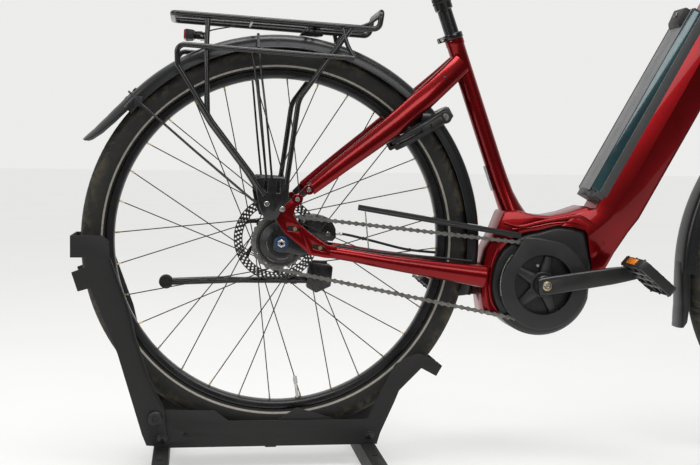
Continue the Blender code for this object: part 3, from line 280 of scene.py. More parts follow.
def satin_black():
    black = Finish("satin_black_enamel", (0.0055, 0.0055, 0.006), 0.26, 0.0, 0.4, 0.12)
    specks = black.ramp(black.noise(420.0, 2.0), 0.68, 0.74)
    black.set("Base Color", black.mix(specks * 0.25, (0.005, 0.005, 0.0055), (0.03, 0.03, 0.03)))
    return black.wear(0.22, 0.38).grain(380.0, 0.12).material


def moulded_black(name="moulded_black_plastic", shade=0.01, low=0.42, high=0.58):
    plastic = Finish(name, (shade, shade, shade * 1.05), 0.5)
    dust = plastic.ramp(plastic.noise(24.0, 5.0, 0.65), 0.5, 0.8)
    plastic.set("Base Color", plastic.mix(dust * 0.3, (shade, shade, shade * 1.05), (shade * 1.9,) * 3))
    return plastic.wear(low, high).grain(2400.0, 0.35, 0.0002).material


def mudguard_black():
    guard = Finish("mudguard_satin_plastic", (0.006, 0.0065, 0.007), 0.4, 0.0, 0.12, 0.25)
    rub = guard.ramp(guard.noise(60.0, 6.0, 0.7, guard.place(), 0.6), 0.58, 0.75)
    guard.set("Base Color", guard.mix(rub * 0.35, (0.006, 0.0068, 0.0075), (0.026, 0.027, 0.027)))
    guard.set("Roughness", 0.3 + rub * 0.22)
    return guard.grain(900.0, 0.12, 0.0002).material


def tyre_rubber(name, centre):
    """Black side, a painted highlight line by the rim's edge, and a shoulder marked brown by the road."""
    rubber = Finish(name, (0.014, 0.0135, 0.012), 0.72)
    radius, _, across, _ = radius_from(rubber, centre)
    side = across.then("ABSOLUTE")
    swirl = rubber.noise(22.0, 6.0, 0.68, rubber.place(centre), 1.8)
    blotch = rubber.noise(7.0, 3.0, 0.6)
    shoulder = rubber.ramp(radius, 0.326, 0.345) * (1 - rubber.ramp(radius, 0.353, 0.3558))
    scuff = rubber.ramp(swirl, 0.44, 0.6) * shoulder * rubber.ramp(blotch, 0.32, 0.52)
    base = rubber.mix(rubber.ramp(rubber.noise(90.0, 4.0), 0.4, 0.7) * 0.5, (0.008, 0.0076, 0.0068),
                      (0.0165, 0.0155, 0.013))
    dirty = rubber.mix(scuff * 0.75, base, (0.085, 0.07, 0.044))
    # The pale line just outside the rim's edge is a painted highlight, made glossier than the rubber round
    # it.
    line = rubber.ramp(radius, RIM_EDGE_HIGHLIGHT_RADIUS - 0.0019, RIM_EDGE_HIGHLIGHT_RADIUS - 0.0014)
    line = line * (1 - rubber.ramp(radius, RIM_EDGE_HIGHLIGHT_RADIUS + 0.0014, RIM_EDGE_HIGHLIGHT_RADIUS + 0.0019))
    line = line * rubber.ramp(side, 0.01, 0.014)
    painted_highlight_colour = rubber.mix(rubber.ramp(rubber.noise(160.0, 3.0), 0.45, 0.75) * 0.5, (0.36, 0.34, 0.29),
                        (0.2, 0.18, 0.14))
    rubber.set("Base Color", rubber.mix(line, dirty, painted_highlight_colour))
    rubber.set("Roughness", 0.7 - line * 0.25 + scuff * 0.15)
    ribs = (radius * 2600.0).then("SINE") * (1 - rubber.ramp(radius, 0.33, 0.336))
    return rubber.bump(ribs * 0.12 + rubber.noise(700.0, 3.0) + swirl * shoulder * 2.0, 0.5, 0.0004).material


def anodised_black(name="rim_black_anodised", shade=0.012, rough=0.3):
    black = Finish(name, (shade, shade, shade * 1.08), rough, 0.35, 0.3, 0.15)
    return black.wear(rough - 0.08, rough + 0.1, 14.0).grain(1100.0, 0.1, 0.0002).material


def brushed(name, colour, roughness, centre=None, metallic=1.0, dirt=0.3):
    """Bare metal with fine turning marks round an axle, or plain drawn marks."""
    steel = Finish(name, colour, roughness, metallic)
    dark = tuple(c * 0.35 for c in colour)
    grime = steel.ramp(steel.noise(110.0, 5.0, 0.65), 0.42, 0.75)
    steel.set("Base Color", steel.mix(grime * dirt, colour, dark))
    steel.set("Roughness", roughness + grime * 0.18)
    if centre is None:
        return steel.grain(1500.0, 0.15, 0.0002).material
    radius = radius_from(steel, centre)[0]
    return steel.bump((radius * 9000.0).then("SINE") * 0.5 + steel.noise(800.0, 2.0), 0.18, 0.0001).material


def powder_coat():
    coat = Finish("stand_powder_coat", (0.006, 0.006, 0.006), 0.62)
    drift = coat.ramp(coat.noise(6.0, 4.0, 0.6), 0.35, 0.75)
    scratch = coat.ramp(coat.noise(46.0, 8.0, 0.8, coat.place((0, 0, 0), (0.0, 0.9, 0.3)), 2.2), 0.67, 0.71)
    base = coat.mix(drift * 0.6, (0.0045, 0.0045, 0.0044), (0.0085, 0.0085, 0.0083))
    coat.set("Base Color", coat.mix(scratch * 0.2, base, (0.05, 0.05, 0.048)))
    coat.set("Roughness", 0.5 + drift * 0.16)
    return coat.grain(620.0, 0.32, 0.0006).material


def saddle_skin():
    skin = Finish("saddle_grained_cover", (0.018, 0.018, 0.019), 0.55, 0.0)
    cells = skin.node("ShaderNodeTexVoronoi", {"feature": "DISTANCE_TO_EDGE"},
                      {"Vector": skin.place(), "Scale": 700.0})
    folds = skin.ramp(cells, 0.0, 0.25)
    skin.set("Base Color", skin.mix(folds, (0.01, 0.01, 0.011), (0.026, 0.026, 0.027)))
    skin.set("Roughness", 0.62 - folds * 0.14)
    return skin.bump(folds + skin.noise(60.0, 3.0) * 0.5, 0.5, 0.0004).material


def battery_lid():
    lid = Finish("battery_lid_grey", (0.15, 0.155, 0.155), 0.42, 0.1)
    shade = lid.ramp(lid.noise(5.0, 3.0), 0.3, 0.8)
    lid.set("Base Color", lid.mix(shade, (0.135, 0.14, 0.14), (0.175, 0.18, 0.18)))
    return lid.wear(0.34, 0.5).grain(1900.0, 0.25, 0.0002).material


def battery_side():
    side = Finish("battery_side_teal", (0.02, 0.062, 0.072), 0.16, 0.2, 0.9, 0.04)
    drift = side.ramp(side.noise(7.0, 2.0), 0.3, 0.8)
    side.set("Base Color", side.mix(drift, (0.014, 0.048, 0.056), (0.035, 0.09, 0.1)))
    return side.wear(0.12, 0.22, 40.0).grain(800.0, 0.03, 0.0002).material


def lamp_lens(name, colour):
    lens = Finish(name, colour, 0.12, 0.0, 1.0, 0.03)
    cell = lens.node("ShaderNodeTexVoronoi", {"feature": "F1"}, {"Vector": lens.place(), "Scale": 420.0})
    bright = tuple(min(1.0, c * 2.2 + 0.01) for c in colour)
    lens.set("Base Color", lens.mix(lens.ramp(cell, 0.2, 0.7), bright, colour))
    lens.set("Roughness", 0.1 + lens.noise(90.0) * 0.08)
    return lens.bump(cell, 0.6, 0.0008).material


def cable_skin():
    skin = Finish("cable_jacket_black", (0.01, 0.01, 0.01), 0.42)
    skin.set("Base Color", skin.mix(skin.ramp(skin.noise(80.0, 4.0), 0.4, 0.8), (0.009,) * 3, (0.022,) * 3))
    return skin.wear(0.36, 0.52).grain(1800.0, 0.2, 0.0002).material


def grip_rubber():
    grip = Finish("grip_rubber_black", (0.016, 0.016, 0.016), 0.75)
    weave = grip.node("ShaderNodeTexVoronoi", {"feature": "F1"}, {"Vector": grip.place(), "Scale": 330.0})
    grip.set("Base Color", grip.mix(grip.ramp(weave, 0.2, 0.7), (0.022,) * 3, (0.01,) * 3))
    grip.set("Roughness", 0.68 + grip.noise(60.0) * 0.15)
    return grip.bump(weave, 0.7, 0.0008).material


def crank_metal():
    metal = Finish("crank_dark_satin", (0.03, 0.031, 0.03), 0.38, 0.45, 0.25, 0.25)
    rub = metal.ramp(metal.noise(38.0, 6.0, 0.7), 0.52, 0.78)
    metal.set("Base Color", metal.mix(rub * 0.5, (0.026, 0.027, 0.026), (0.06, 0.06, 0.056)))
    return metal.wear(0.32, 0.48).grain(1300.0, 0.14, 0.0002).material


RED = candy_red()
BLACK = satin_black()
PLASTIC = moulded_black()
RINGED = moulded_black("chain_cover_plastic", 0.0165, 0.36, 0.5)
MOTOR_PLASTIC = moulded_black("motor_cover_plastic", 0.017, 0.3, 0.42)
MUDGUARD = mudguard_black()
RIM = anodised_black()
HUB = anodised_black("hub_black_anodised", 0.01, 0.26)
SPOKE_STEEL = brushed("spoke_dark_steel", (0.035, 0.035, 0.034), 0.36, metallic=0.6)
CHAIN_STEEL = brushed("chain_nickel_steel", (0.3, 0.29, 0.27), 0.36, dirt=0.95)
BOLT_STEEL = brushed("bolt_bright_steel", (0.72, 0.71, 0.68), 0.22, dirt=0.2)
BRASS = brushed("nipple_brass", (0.62, 0.5, 0.28), 0.3)
AXLE_BLUE = Finish("axle_cap_blue", (0.03, 0.07, 0.16), 0.3, 0.4, 0.5).wear(0.25, 0.4).material
DARK_ARC = moulded_black("hub_dust_plate", 0.012, 0.3, 0.45)
CRANK = crank_metal()
POWDER = powder_coat()
SADDLE = saddle_skin()
LID = battery_lid()
TEAL = battery_side()
GASKET = moulded_black("battery_gasket_grey", 0.052, 0.5, 0.62)
TAIL_RED = lamp_lens("tail_lens_red", (0.16, 0.004, 0.006))
AMBER = lamp_lens("pedal_reflector_amber", (0.7, 0.17, 0.01))
CLEAR = lamp_lens("head_lens_clear", (0.55, 0.57, 0.58))
CABLE = cable_skin()
GRIP = grip_rubber()
WHITE = moulded_black("valve_cap_white", 0.62, 0.4, 0.5)
PALE_TAPE = moulded_black("guard_tape_pale", 0.42, 0.25, 0.35)


# ---------------------------------------------------------------- shapes
def bridge(shape, rings, closed=False, capped=True):
    loops = [[shape.verts.new(p) for p in ring] for ring in rings]
    count = len(loops[0])
    for n in range(len(loops) if closed else len(loops) - 1):
        here = loops[n]
        there = loops[(n + 1) % len(loops)]
        for i in range(count):
            j = (i + 1) % count
            shape.faces.new((here[i], here[j], there[j], there[i]))
    if capped and not closed:
        shape.faces.new(loops[0])
        shape.faces.new(loops[-1])


def loft(rings, closed=False):
    shape = bmesh.new()
    bridge(shape, rings, closed)
    return shape


def together(*shapes):
    """Several closed shapes in one mesh."""
    joined = bmesh.new()
    for shape in shapes:
        scratch = bpy.data.meshes.new("scratch")
        bmesh.ops.recalc_face_normals(shape, faces=shape.faces)
        shape.to_mesh(scratch)
        shape.free()
        joined.from_mesh(scratch)
        bpy.data.meshes.remove(scratch)
    return joined


def moved(shape, matrix):
    bmesh.ops.transform(shape, matrix=matrix, verts=shape.verts)
    return shape


def slab(outline, low, high):
    """An outline in X and Z, drawn out along Y."""
    return loft([[Vector((x, y, z)) for x, z in outline] for y in (low, high)])


def side_slab(outline, low, high, side):
    return slab(outline, *sorted((side * low, side * high)))


def block(low, high):
    outline = [(low[0], low[2]), (high[0], low[2]), (high[0], high[2]), (low[0], high[2])]
    return slab(outline, low[1], high[1])


def facing(centre, run):
    return Matrix.Translation(centre) @ Vector(run).to_track_quat("Z", "X").to_matrix().to_4x4()


def turned(profile, segments=48, centre=ORIGIN, run=(0, 1, 0), start=0.0, sweep=360.0):
    """A profile of (radius, distance along the run), turned about the run."""
    place = facing(centre, run)
    whole = sweep >= 360.0
    rings = []
    for n in range(segments if whole else segments + 1):
        angle = radians(start + sweep * n / segments)
        rings.append([place @ Vector((r * cos(angle), r * sin(angle), h)) for r, h in profile])
    shape = loft(rings, closed=whole)
    bmesh.ops.remove_doubles(shape, verts=shape.verts, dist=1e-7)
    return shape


def washer(inner, outer, low, high, segments=64, **where):
    return turned([(inner, low), (outer, low), (outer, high), (inner, high)], segments, **where)


def drum(radius, low, high, segments=32, soft=0.0006, **where):
    """A closed drum with softened rims."""
    rim = [(radius - soft, low), (radius, low + soft), (radius, high - soft), (radius - soft, high)]
    return turned([(0, low)] + rim + [(0, high)], segments, **where)


def tube(path, radius, sides=20, closed=False, flatten=1.0):
    path = [Vector(p) for p in path]
    radii = radius if isinstance(radius, list) else [radius] * len(path)
    rings = []
    across = None
    for n, point in enumerate(path):
        before = path[n - 1] if n or closed else point
        after = path[(n + 1) % len(path)] if n < len(path) - 1 or closed else point
        run = (after - before).normalized()
        if across is None:
            across = Vector((0, 1, 0)) if abs(run.y) < 0.9 else Vector((1, 0, 0))
        across = (across - run * across.dot(run)).normalized()
        up = run.cross(across)
        turns = [2 * pi * (i + 0.5) / sides for i in range(sides)]
        rings.append([point + across * cos(a) * radii[n] * flatten + up * sin(a) * radii[n]
                      for a in turns])
    return loft(rings, closed)


def rod(start, end, radius, sides=20, tip_radius=None):
    return tube([start, end], [radius, radius if tip_radius is None else tip_radius], sides)


def rounded(corners, radius, steps=8, closed=False):
    """Straight runs with an arc at each corner."""
    corners = [Vector(c) for c in corners]
    path = []
    for n, corner in enumerate(corners):
        if not closed and n in (0, len(corners) - 1):
            path.append(corner)
            continue
        to_last = (corners[n - 1] - corner).normalized()
        to_next = (corners[(n + 1) % len(corners)] - corner).normalized()
        half = to_last.angle(to_next) / 2
        back = radius / tan(half)
        centre = corner + (to_last + to_next).normalized() * radius / sin(half)
        first = corner + to_last * back - centre
        last = corner + to_next * back - centre
        path += [centre + first.lerp(last, i / steps).normalized() * radius for i in range(steps + 1)]
    return path


def smooth(points, steps=6):
    """A smooth curve through a route's own points."""
    points = [Vector(p) for p in points]
    ends = [points[0] * 2 - points[1]] + points + [points[-1] * 2 - points[-2]]
    path = []
    for n in range(1, len(ends) - 2):
        a, b, c, d = ends[n - 1:n + 3]
        for i in range(steps):
            t = i / steps
            cubic = (2 * a - 5 * b + 4 * c - d) * t * t + (3 * b - a - 3 * c + d) * t ** 3
            path.append(0.5 * (2 * b + (c - a) * t + cubic))
    return path + [points[-1]]


def arc(radius, first, last, steps, centre=(0, 0)):
    angles = [radians(first + (last - first) * n / steps) for n in range(steps + 1)]
    return [(centre[0] + radius * cos(a), centre[1] + radius * sin(a)) for a in angles]


def on_circle(radius, turn, y=0.0):
    """A point at a turn from forward, as far out as the radius."""
    return Vector((radius * cos(turn), y, radius * sin(turn)))


def flipped(points, side):
    return [Vector((x, side * y, z)) for x, y, z in points]


def blend_points(points, share):
    """Values between the ends of a list, smoothly."""
    spot = share * (len(points) - 1)
    n = min(int(spot), len(points) - 2)
    return points[n] + (points[n + 1] - points[n]) * (spot - n)


def along_down_tube(distance, depth, y=0.0):
    point = DOWN_RUN * distance + DOWN_OUT * depth
    return Vector((point.x, y, point.z))


SEAT_FOOT = BRACKET + Vector((-0.008, 0, 0))


def along_seat(distance, y=0.0):
    point = SEAT_FOOT + SEAT_RUN * distance
    return Vector((point.x, y, point.z))


def along_steer(distance):
    """Up the steering axis from the head tube's foot."""
    return STEER_FOOT + HEAD_RUN * distance


# ---------------------------------------------------------------- pieces
def settle(made):
    """The piece as its modifiers leave it, as a plain mesh."""
    view = bpy.context.evaluated_depsgraph_get()
    mesh = bpy.data.meshes.new_from_object(made.evaluated_get(view))
    made.modifiers.clear()
    made.data = mesh
    return made


def shade(mesh, crease=35):
    mesh.shade_smooth()
    mesh.set_sharp_from_angle(angle=radians(crease))


def raw(name, shape, look, place=LEVEL, merge=1e-6):
    if merge:
        bmesh.ops.remove_doubles(shape, verts=shape.verts, dist=merge)
    bmesh.ops.recalc_face_normals(shape, faces=shape.faces)
    mesh = bpy.data.meshes.new(name)
    shape.to_mesh(mesh)
    shape.free()
    mesh.transform(place)
    mesh.materials.append(look)
    made = bpy.data.objects.new(name, mesh)
    bpy.context.collection.objects.link(made)
    return made


def alter(made, shape, operation="DIFFERENCE", place=LEVEL):
    """Cut a shape out of a piece, or weld it on, and keep the result."""
    helper = raw(f"{made.name}_helper", shape, made.data.materials[0], place)
    step = made.modifiers.new(operation, "BOOLEAN")
    step.operation = operation
    step.object = helper
    settle(made)
    bpy.data.objects.remove(helper)
    return made


def soften(made, width, segments=2, crease=35):
    step = made.modifiers.new("softened_edges", "BEVEL")
    step.width = width
    step.segments = segments
    step.limit_method = "ANGLE"
    step.angle_limit = radians(crease)
    step.use_clamp_overlap = True
    settle(made)
    shade(made.data, crease)
    return made


def own(made, body, slot, *nodes):
    """The piece rides on its body and stands for its CAD nodes."""
    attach(made, body)
    if nodes:
        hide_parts(*nodes)
    return made


USUAL_SLOTS = {look.name: slot for slot, looks in {
    "black_metal": (BLACK, GRIP), "black_plastic": (PLASTIC, MOTOR_PLASTIC, RINGED, DARK_ARC),
    "frame_paint": (RED,), "bright_steel": (BOLT_STEEL, CHAIN_STEEL), "hub_black": (HUB,),
    "battery_case": (GASKET,), "cable_jacket": (CABLE,), "mudguard_plastic": (MUDGUARD,),
    "stand_powder_coat": (POWDER,)}.items() for look in looks}


def piece(name, shape, look, *nodes, body="frame", slot=None, place=LEVEL, edge=0.0, crease=35, cuts=()):
    """One finished piece: shaped, cut, softened, and riding on its body."""
    slot = slot or USUAL_SLOTS[look.name]
    made = raw(name, shape, look, place)
    for cutter in cuts:
        alter(made, cutter, "DIFFERENCE", place)
    if edge:
        soften(made, edge, 2, crease)
    shade(made.data, crease)
    return own(made, body, slot, *nodes)


# ---------------------------------------------------------------- patterns
class Pattern(Wiring):
    """A Geometry Nodes tree with named sizes, whose result is kept as a plain mesh."""
    KINDS = {int: "NodeSocketInt", float: "NodeSocketFloat", bpy.types.Object: "NodeSocketObject"}

    def __init__(self, name, **sizes):
        super().__init__(bpy.data.node_groups.new(name, "GeometryNodeTree"))
        self.name = name
        self.tree.interface.new_socket(name="Result", in_out="OUTPUT", socket_type="NodeSocketGeometry")
        self.sizes = {}
        for key, value in sizes.items():
            kind = self.KINDS.get(type(value), "NodeSocketObject")
            socket = self.tree.interface.new_socket(name=key, in_out="INPUT", socket_type=kind)
            self.sizes[socket.identifier] = value
        self.given = self.tree.nodes.new("NodeGroupInput")

    def size(self, name):
        return Signal(self, self.given.outputs[name])

    def point(self, x, y, z):
        return self.node("ShaderNodeCombineXYZ", None, {0: x, 1: y, 2: z})

    def unit(self, name):
        return self.node("GeometryNodeObjectInfo", None, {"Object": self.size(name)}, "Geometry")

    def keep(self, geometry, look, place=LEVEL):
        real = self.node("GeometryNodeRealizeInstances", None, {0: geometry})
        dressed = self.node("GeometryNodeSetMaterial", None, {"Geometry": real, "Material": look})
        self.feed(self.tree.nodes.new("NodeGroupOutput").inputs[0], dressed)
        made = bpy.data.objects.new(self.name, bpy.data.meshes.new(self.name))
        bpy.context.collection.objects.link(made)
        step = made.modifiers.new("pattern", "NODES")
        step.node_group = self.tree
        for identifier, value in self.sizes.items():
            step[identifier] = value
        settle(made)
        made.data.transform(place)
        if not made.data.materials:
            made.data.materials.append(look)
        shade(made.data)
        return made


def unit_object(shape):
    return raw("pattern_unit", shape, PLASTIC, Matrix.Identity(4))


def drop(*objects):
    for obj in objects:
        bpy.data.objects.remove(obj)


def ring_of(name, shape, count, look, place=LEVEL, start=0.0, step=None):
    """Copies of a unit, turned step by step about Y."""
    unit = unit_object(shape)
    step = radians(360.0 / count if step is None else step)
    pattern = Pattern(name, Unit=unit, Count=count, Start=radians(start), Step=step)
    spots = pattern.node("GeometryNodePoints", None, {"Count": pattern.size("Count")})
    number = pattern.node("GeometryNodeInputIndex")
    turn = pattern.point(0.0, pattern.size("Start") + number * pattern.size("Step"), 0.0)
    copies = pattern.node("GeometryNodeInstanceOnPoints", None,
                          {"Points": spots, "Instance": pattern.unit("Unit"), "Rotation": turn})
    made = pattern.keep(copies, look, place)
    drop(unit)
    return made


def row_of(name, shape, count, look, place, stride):
    """Copies of a unit, a stride apart along X."""
    unit = unit_object(shape)
    pattern = Pattern(name, Unit=unit, Count=count, Stride=stride)
    number = pattern.node("GeometryNodeInputIndex")
    spot = pattern.point(number * pattern.size("Stride"), 0.0, 0.0)
    spots = pattern.node("GeometryNodePoints", None, {"Count": pattern.size("Count"), "Position": spot})
    copies = pattern.node("GeometryNodeInstanceOnPoints", None,
                          {"Points": spots, "Instance": pattern.unit("Unit")})
    made = pattern.keep(copies, look, place)
    drop(unit)
    return made


def wires(name, look, axle, hub_radius, flange, wire, first, last):
    """Crossed spokes, or the stretch of each from one share of its length to another."""
    pattern = Pattern(name, Count=SPOKES, Hub=hub_radius, Rim=RIM_INNER - 0.0003, Flange=flange,
                      Cross=SPOKE_CROSS, Wire=wire, First=first, Last=last)
    spots = pattern.node("GeometryNodePoints", None, {"Count": pattern.size("Count")})
    stick = pattern.node("GeometryNodeMeshLine", None, {"Count": 2})
    sticks = pattern.node("GeometryNodeInstanceOnPoints", None, {"Points": spots, "Instance": stick})
    sticks = pattern.node("GeometryNodeRealizeInstances", None, {0: sticks})
    index = pattern.node("GeometryNodeInputIndex")
    end = index.then("MODULO", 2.0)
    number = (index / 2.0).then("FLOOR")
    side = number.then("MODULO", 2.0)
    pair = (number / 2.0).then("FLOOR")
    lean = pair.then("MODULO", 2.0)
    share = pattern.size("First") + end * (pattern.size("Last") - pattern.size("First"))
    hole = (pair + side * 0.5) * (4 * pi / SPOKES)
    far = hole + (lean * 2.0 - 1.0) * pattern.size("Cross")
    out = side * 2.0 - 1.0
    hub = (hole.then("COSINE") * pattern.size("Hub"), out * (pattern.size("Flange") + lean * 0.003),
           hole.then("SINE") * pattern.size("Hub"))
    rim = (far.then("COSINE") * pattern.size("Rim"), out * 0.0012, far.then("SINE") * pattern.size("Rim"))
    spot = pattern.point(*[a + (b - a) * share for a, b in zip(hub, rim)])
    placed = pattern.node("GeometryNodeSetPosition", None, {"Geometry": sticks, "Position": spot})
    curve = pattern.node("GeometryNodeMeshToCurve", None, {0: placed})
    section = pattern.node("GeometryNodeCurvePrimitiveCircle", None,
                           {"Resolution": 10, "Radius": pattern.size("Wire")})
    solid = pattern.node("GeometryNodeCurveToMesh", None,
                         {"Curve": curve, "Profile Curve": section, "Fill Caps": True})
    return pattern.keep(solid, look, LEVEL @ Matrix.Translation(axle))


def drilled_ring(name, look, place, inner, outer, thick, rows):
    """A flat ring across Z with rows of holes: (count, radius of the row, hole radius, first angle)."""
    pattern = Pattern(name, Inner=inner, Outer=outer, Thick=thick)
    edges = [pattern.node("GeometryNodeCurvePrimitiveCircle", None,
                          {"Resolution": 96, "Radius": pattern.size(key)}) for key in ("Outer", "Inner")]
    for count, row, hole, first in rows:
        number = pattern.node("GeometryNodeInputIndex")
        angle = number * (2 * pi / count) + radians(first)
        spot = pattern.point(angle.then("COSINE") * row, angle.then("SINE") * row, 0.0)
        spots = pattern.node("GeometryNodePoints", None, {"Count": count, "Position": spot})
        circle = pattern.node("GeometryNodeCurvePrimitiveCircle", None, {"Resolution": 10, "Radius": hole})
        copies = pattern.node("GeometryNodeInstanceOnPoints", None, {"Points": spots, "Instance": circle})
        edges.append(pattern.node("GeometryNodeRealizeInstances", None, {0: copies}))
    joined = pattern.tree.nodes.new("GeometryNodeJoinGeometry")
    for edge in edges:
        pattern.feed(joined.inputs[0], edge)
    flat = pattern.node("GeometryNodeFillCurve", None, {"Curve": Signal(pattern, joined.outputs[0])})
    raised = pattern.node("GeometryNodeExtrudeMesh", None,
                          {"Mesh": flat, "Offset": pattern.point(0.0, 0.0, 1.0),
                           "Offset Scale": pattern.size("Thick"), "Individual": False})
    under = pattern.node("GeometryNodeFlipFaces", None, {0: flat})
    both = pattern.tree.nodes.new("GeometryNodeJoinGeometry")
    pattern.feed(both.inputs[0], raised)
    pattern.feed(both.inputs[0], under)
    welded = pattern.node("GeometryNodeMergeByDistance", None,
                          {0: Signal(pattern, both.outputs[0]), "Distance": 1e-5})
    return pattern.keep(welded, look, place)


def chain_links(name, look, path, link, other):
    """Two kinds of link by turns along a closed line, each facing the way the line runs."""
    curve = bpy.data.curves.new("chain_line", "CURVE")
    curve.dimensions = "3D"
    line = curve.splines.new("POLY")
    line.points.add(len(path) - 1)
    for spot, point in zip(line.points, path):
        spot.co = (*point, 1)
    line.use_cyclic_u = True
    route = bpy.data.objects.new("chain_line", curve)
    bpy.context.collection.objects.link(route)
    around = sum((path[n] - path[n - 1]).length for n in range(len(path)))
    count = 2 * round(around / CHAIN_PITCH / 2)
    units = [unit_object(shape) for shape in (link, other)]
    pattern = Pattern(name, Route=route, Outer=units[0], Inner=units[1], Links=count)
    points = pattern.tree.nodes.new("GeometryNodeCurveToPoints")
    points.mode = "COUNT"
    pattern.feed(points.inputs["Curve"], pattern.unit("Route"))
    pattern.feed(points.inputs["Count"], pattern.size("Links"))
    facing_way = pattern.node("FunctionNodeAlignRotationToVector", {"axis": "X", "pivot_axis": "Y"},
                              {"Vector": Signal(pattern, points.outputs["Tangent"])})
    odd = pattern.node("GeometryNodeInputIndex").then("MODULO", 2.0)
    joined = pattern.tree.nodes.new("GeometryNodeJoinGeometry")
    for key, chosen in (("Outer", odd), ("Inner", 1 - odd)):
        copies = pattern.node("GeometryNodeInstanceOnPoints", None,
                              {"Points": Signal(pattern, points.outputs["Points"]),
                               "Instance": pattern.unit(key), "Selection": chosen, "Rotation": facing_way})
        pattern.feed(joined.inputs[0], copies)
    made = pattern.keep(Signal(pattern, joined.outputs[0]), look)
    drop(route, *units)
    return made


def screws(name, spots, run, radius, body, slot, look=None, place=LEVEL, height=0.003):
    """Socket screws: a softened head with a round well, at each spot."""
    shapes = []
    for spot in spots:
        where = {"centre": Vector(spot), "run": run}
        well = radius * 0.48
        head = [(well, height * 0.4), (well, height), (radius * 0.85, height), (radius, height * 0.75),
                (radius, -0.0005), (0, -0.0005), (0, height * 0.4)]
        shapes.append(turned(head, 24, **where))
    return piece(name, together(*shapes), look or BOLT_STEEL, body=body, slot=slot, place=place)


# ---------------------------------------------------------------- wheels
def mirrored_profile(side):
    """A half section from the crown to one edge, with its other half."""
    return [(r, -y) for r, y in side] + [(r, y) for r, y in reversed(side) if y]


def make_tyre(name, axle, body, centre):
    crown = TYRE_RADIUS - 0.0009
    wide = TYRE_HALF
    outer = [(RIM_OUTER + 0.0006, 0.0112), (RIM_OUTER + 0.0034, 0.0168), (0.3178, 0.0207), (0.3245, 0.0229),
             (0.332, wide), (0.3395, 0.0227), (0.3455, 0.0203), (0.3502, 0.0163), (0.3532, 0.0112),
             (0.3547, 0.0056), (crown, 0.0)]
    look = tyre_rubber(f"{name}_rubber", centre)
    carcass = piece(name, turned(mirrored_profile(outer), 144, axle), look, name, body=body,
                    slot="tyre_rubber")
    lugs = []
    for side in (-1, 1):
        for low, high, slant, r_low, r_high, half in (
                (0.0014, 0.0072, 0.004, crown - 0.0001, crown - 0.001, 0.0052),
                (0.0084, 0.0128, 0.003, crown - 0.0014, crown - 0.0036, 0.006)):
            rings = []
            for y, shift, r in ((low, 0.0, r_low), (high, slant, r_high)):
                centre_z = shift + (0.0045 if side > 0 else 0.0)
                rings.append([Vector((r + lift, side * y, centre_z + z)) for lift, z in (
                    (-0.0012, -half), (0.0001, -half * 0.92), (0.0001, half * 0.92), (-0.0012, half))])
            lugs.append(loft(rings))
    tread = ring_of(f"{name}_tread", together(*lugs), 150, look, LEVEL @ Matrix.Translation(axle))
    own(tread, body, "tyre_rubber")
    return carcass


def make_rim(name, axle, body):
    outer = [(RIM_OUTER, 0.011), (RIM_OUTER - 0.0012, RIM_HALF), (RIM_INNER + 0.0062, RIM_HALF),
             (RIM_INNER + 0.0022, 0.0104), (RIM_INNER + 0.0004, 0.0072), (RIM_INNER, 0.0)]
    piece(name, turned(mirrored_profile(outer), 144, axle), RIM, name, body=body, slot="rim_black", crease=28)
    along = on_circle(1.0, radians(-80))
    root = axle + along * RIM_INNER
    stem = together(rod(root, root - along * 0.03, 0.0026, 16),
                    drum(0.0045, 0.0, 0.003, 20, centre=root - along * 0.0035, run=along))
    piece(f"{name}_valve_stem", stem, BOLT_STEEL, body=body)
    cap = turned([(0, 0), (0.0036, 0.0006), (0.004, 0.01), (0.0034, 0.0145), (0, 0.015)], 16,
                 root - along * 0.026, -along)
    piece(f"{name}_valve_cap", cap, WHITE, body=body, slot="hub_black")


def make_spokes(name, axle, body, hub_radius, flange):
    steel = wires(name, SPOKE_STEEL, axle, hub_radius, flange, 0.001, 0.0, 1.0)
    own(steel, body, "bright_steel", name)
    end = name.split("_")[0]
    nipples = wires(f"{end}_spoke_nipples", BRASS, axle, hub_radius, flange, 0.0016, 0.972, 1.0)
    own(nipples, body, "bright_steel")
    heads = wires(f"{end}_spoke_heads", SPOKE_STEEL, axle, hub_radius, flange, 0.002, -0.004, 0.01)
    own(heads, body, "bright_steel")


def make_rear_hub():
    half = [(0.0058, 0.0375), (0.0335, 0.0375), (0.035, 0.0355), (0.0425, 0.0308), (0.0436, 0.0296),
            (0.0436, 0.0264), (0.0425, 0.0252), (0.0405, 0.0215), (0.0398, 0.015), (0.0395, 0.0)]
    right = [(r, -y) for r, y in half]
    left = [(0.0395, 0.015), (0.0405, 0.0215), (0.0425, 0.0252), (0.0436, 0.0264), (0.0436, 0.0296),
            (0.0425, 0.0308), (0.026, 0.0375), (0.0235, 0.04), (0.0215, ROTOR_PLACE - 0.003),
            (0.0205, ROTOR_PLACE - 0.0022), (0.0058, ROTOR_PLACE - 0.0022)]
    piece("rear_hub_shell", turned(right + left, 64), HUB, "rear_hub", body="rear_wheel", crease=25)
    sink = drum(0.0019, -0.0005, 0.0012, 10, 0.0003, centre=(0.0395, 0.0308, 0))
    other = drum(0.0019, -0.0005, 0.0012, 10, 0.0003, centre=(0.0395, -0.032, 0))
    eyes = ring_of("rear_hub_spoke_eyes", together(sink, other), SPOKES // 2, SPOKE_STEEL)
    own(eyes, "rear_wheel", "bright_steel")


def make_front_hub():
    line = [(0.0058, -0.044), (0.0136, -0.044), (0.014, -0.03), (0.027, -0.0285), (0.0276, -0.0275),
            (0.0276, -0.0245), (0.0265, -0.0236), (0.0165, -0.02), (0.015, -0.008), (0.015, 0.008),
            (0.0165, 0.014), (0.0265, 0.0176), (0.0276, 0.0186), (0.0276, 0.0216), (0.0265, 0.0226),
            (0.018, 0.026), (0.0178, 0.0325), (0.0058, 0.0325)]
    piece("front_hub_shell", turned(line, 56, FRONT_AXLE), HUB, "front_hub", body="front_wheel", crease=25)


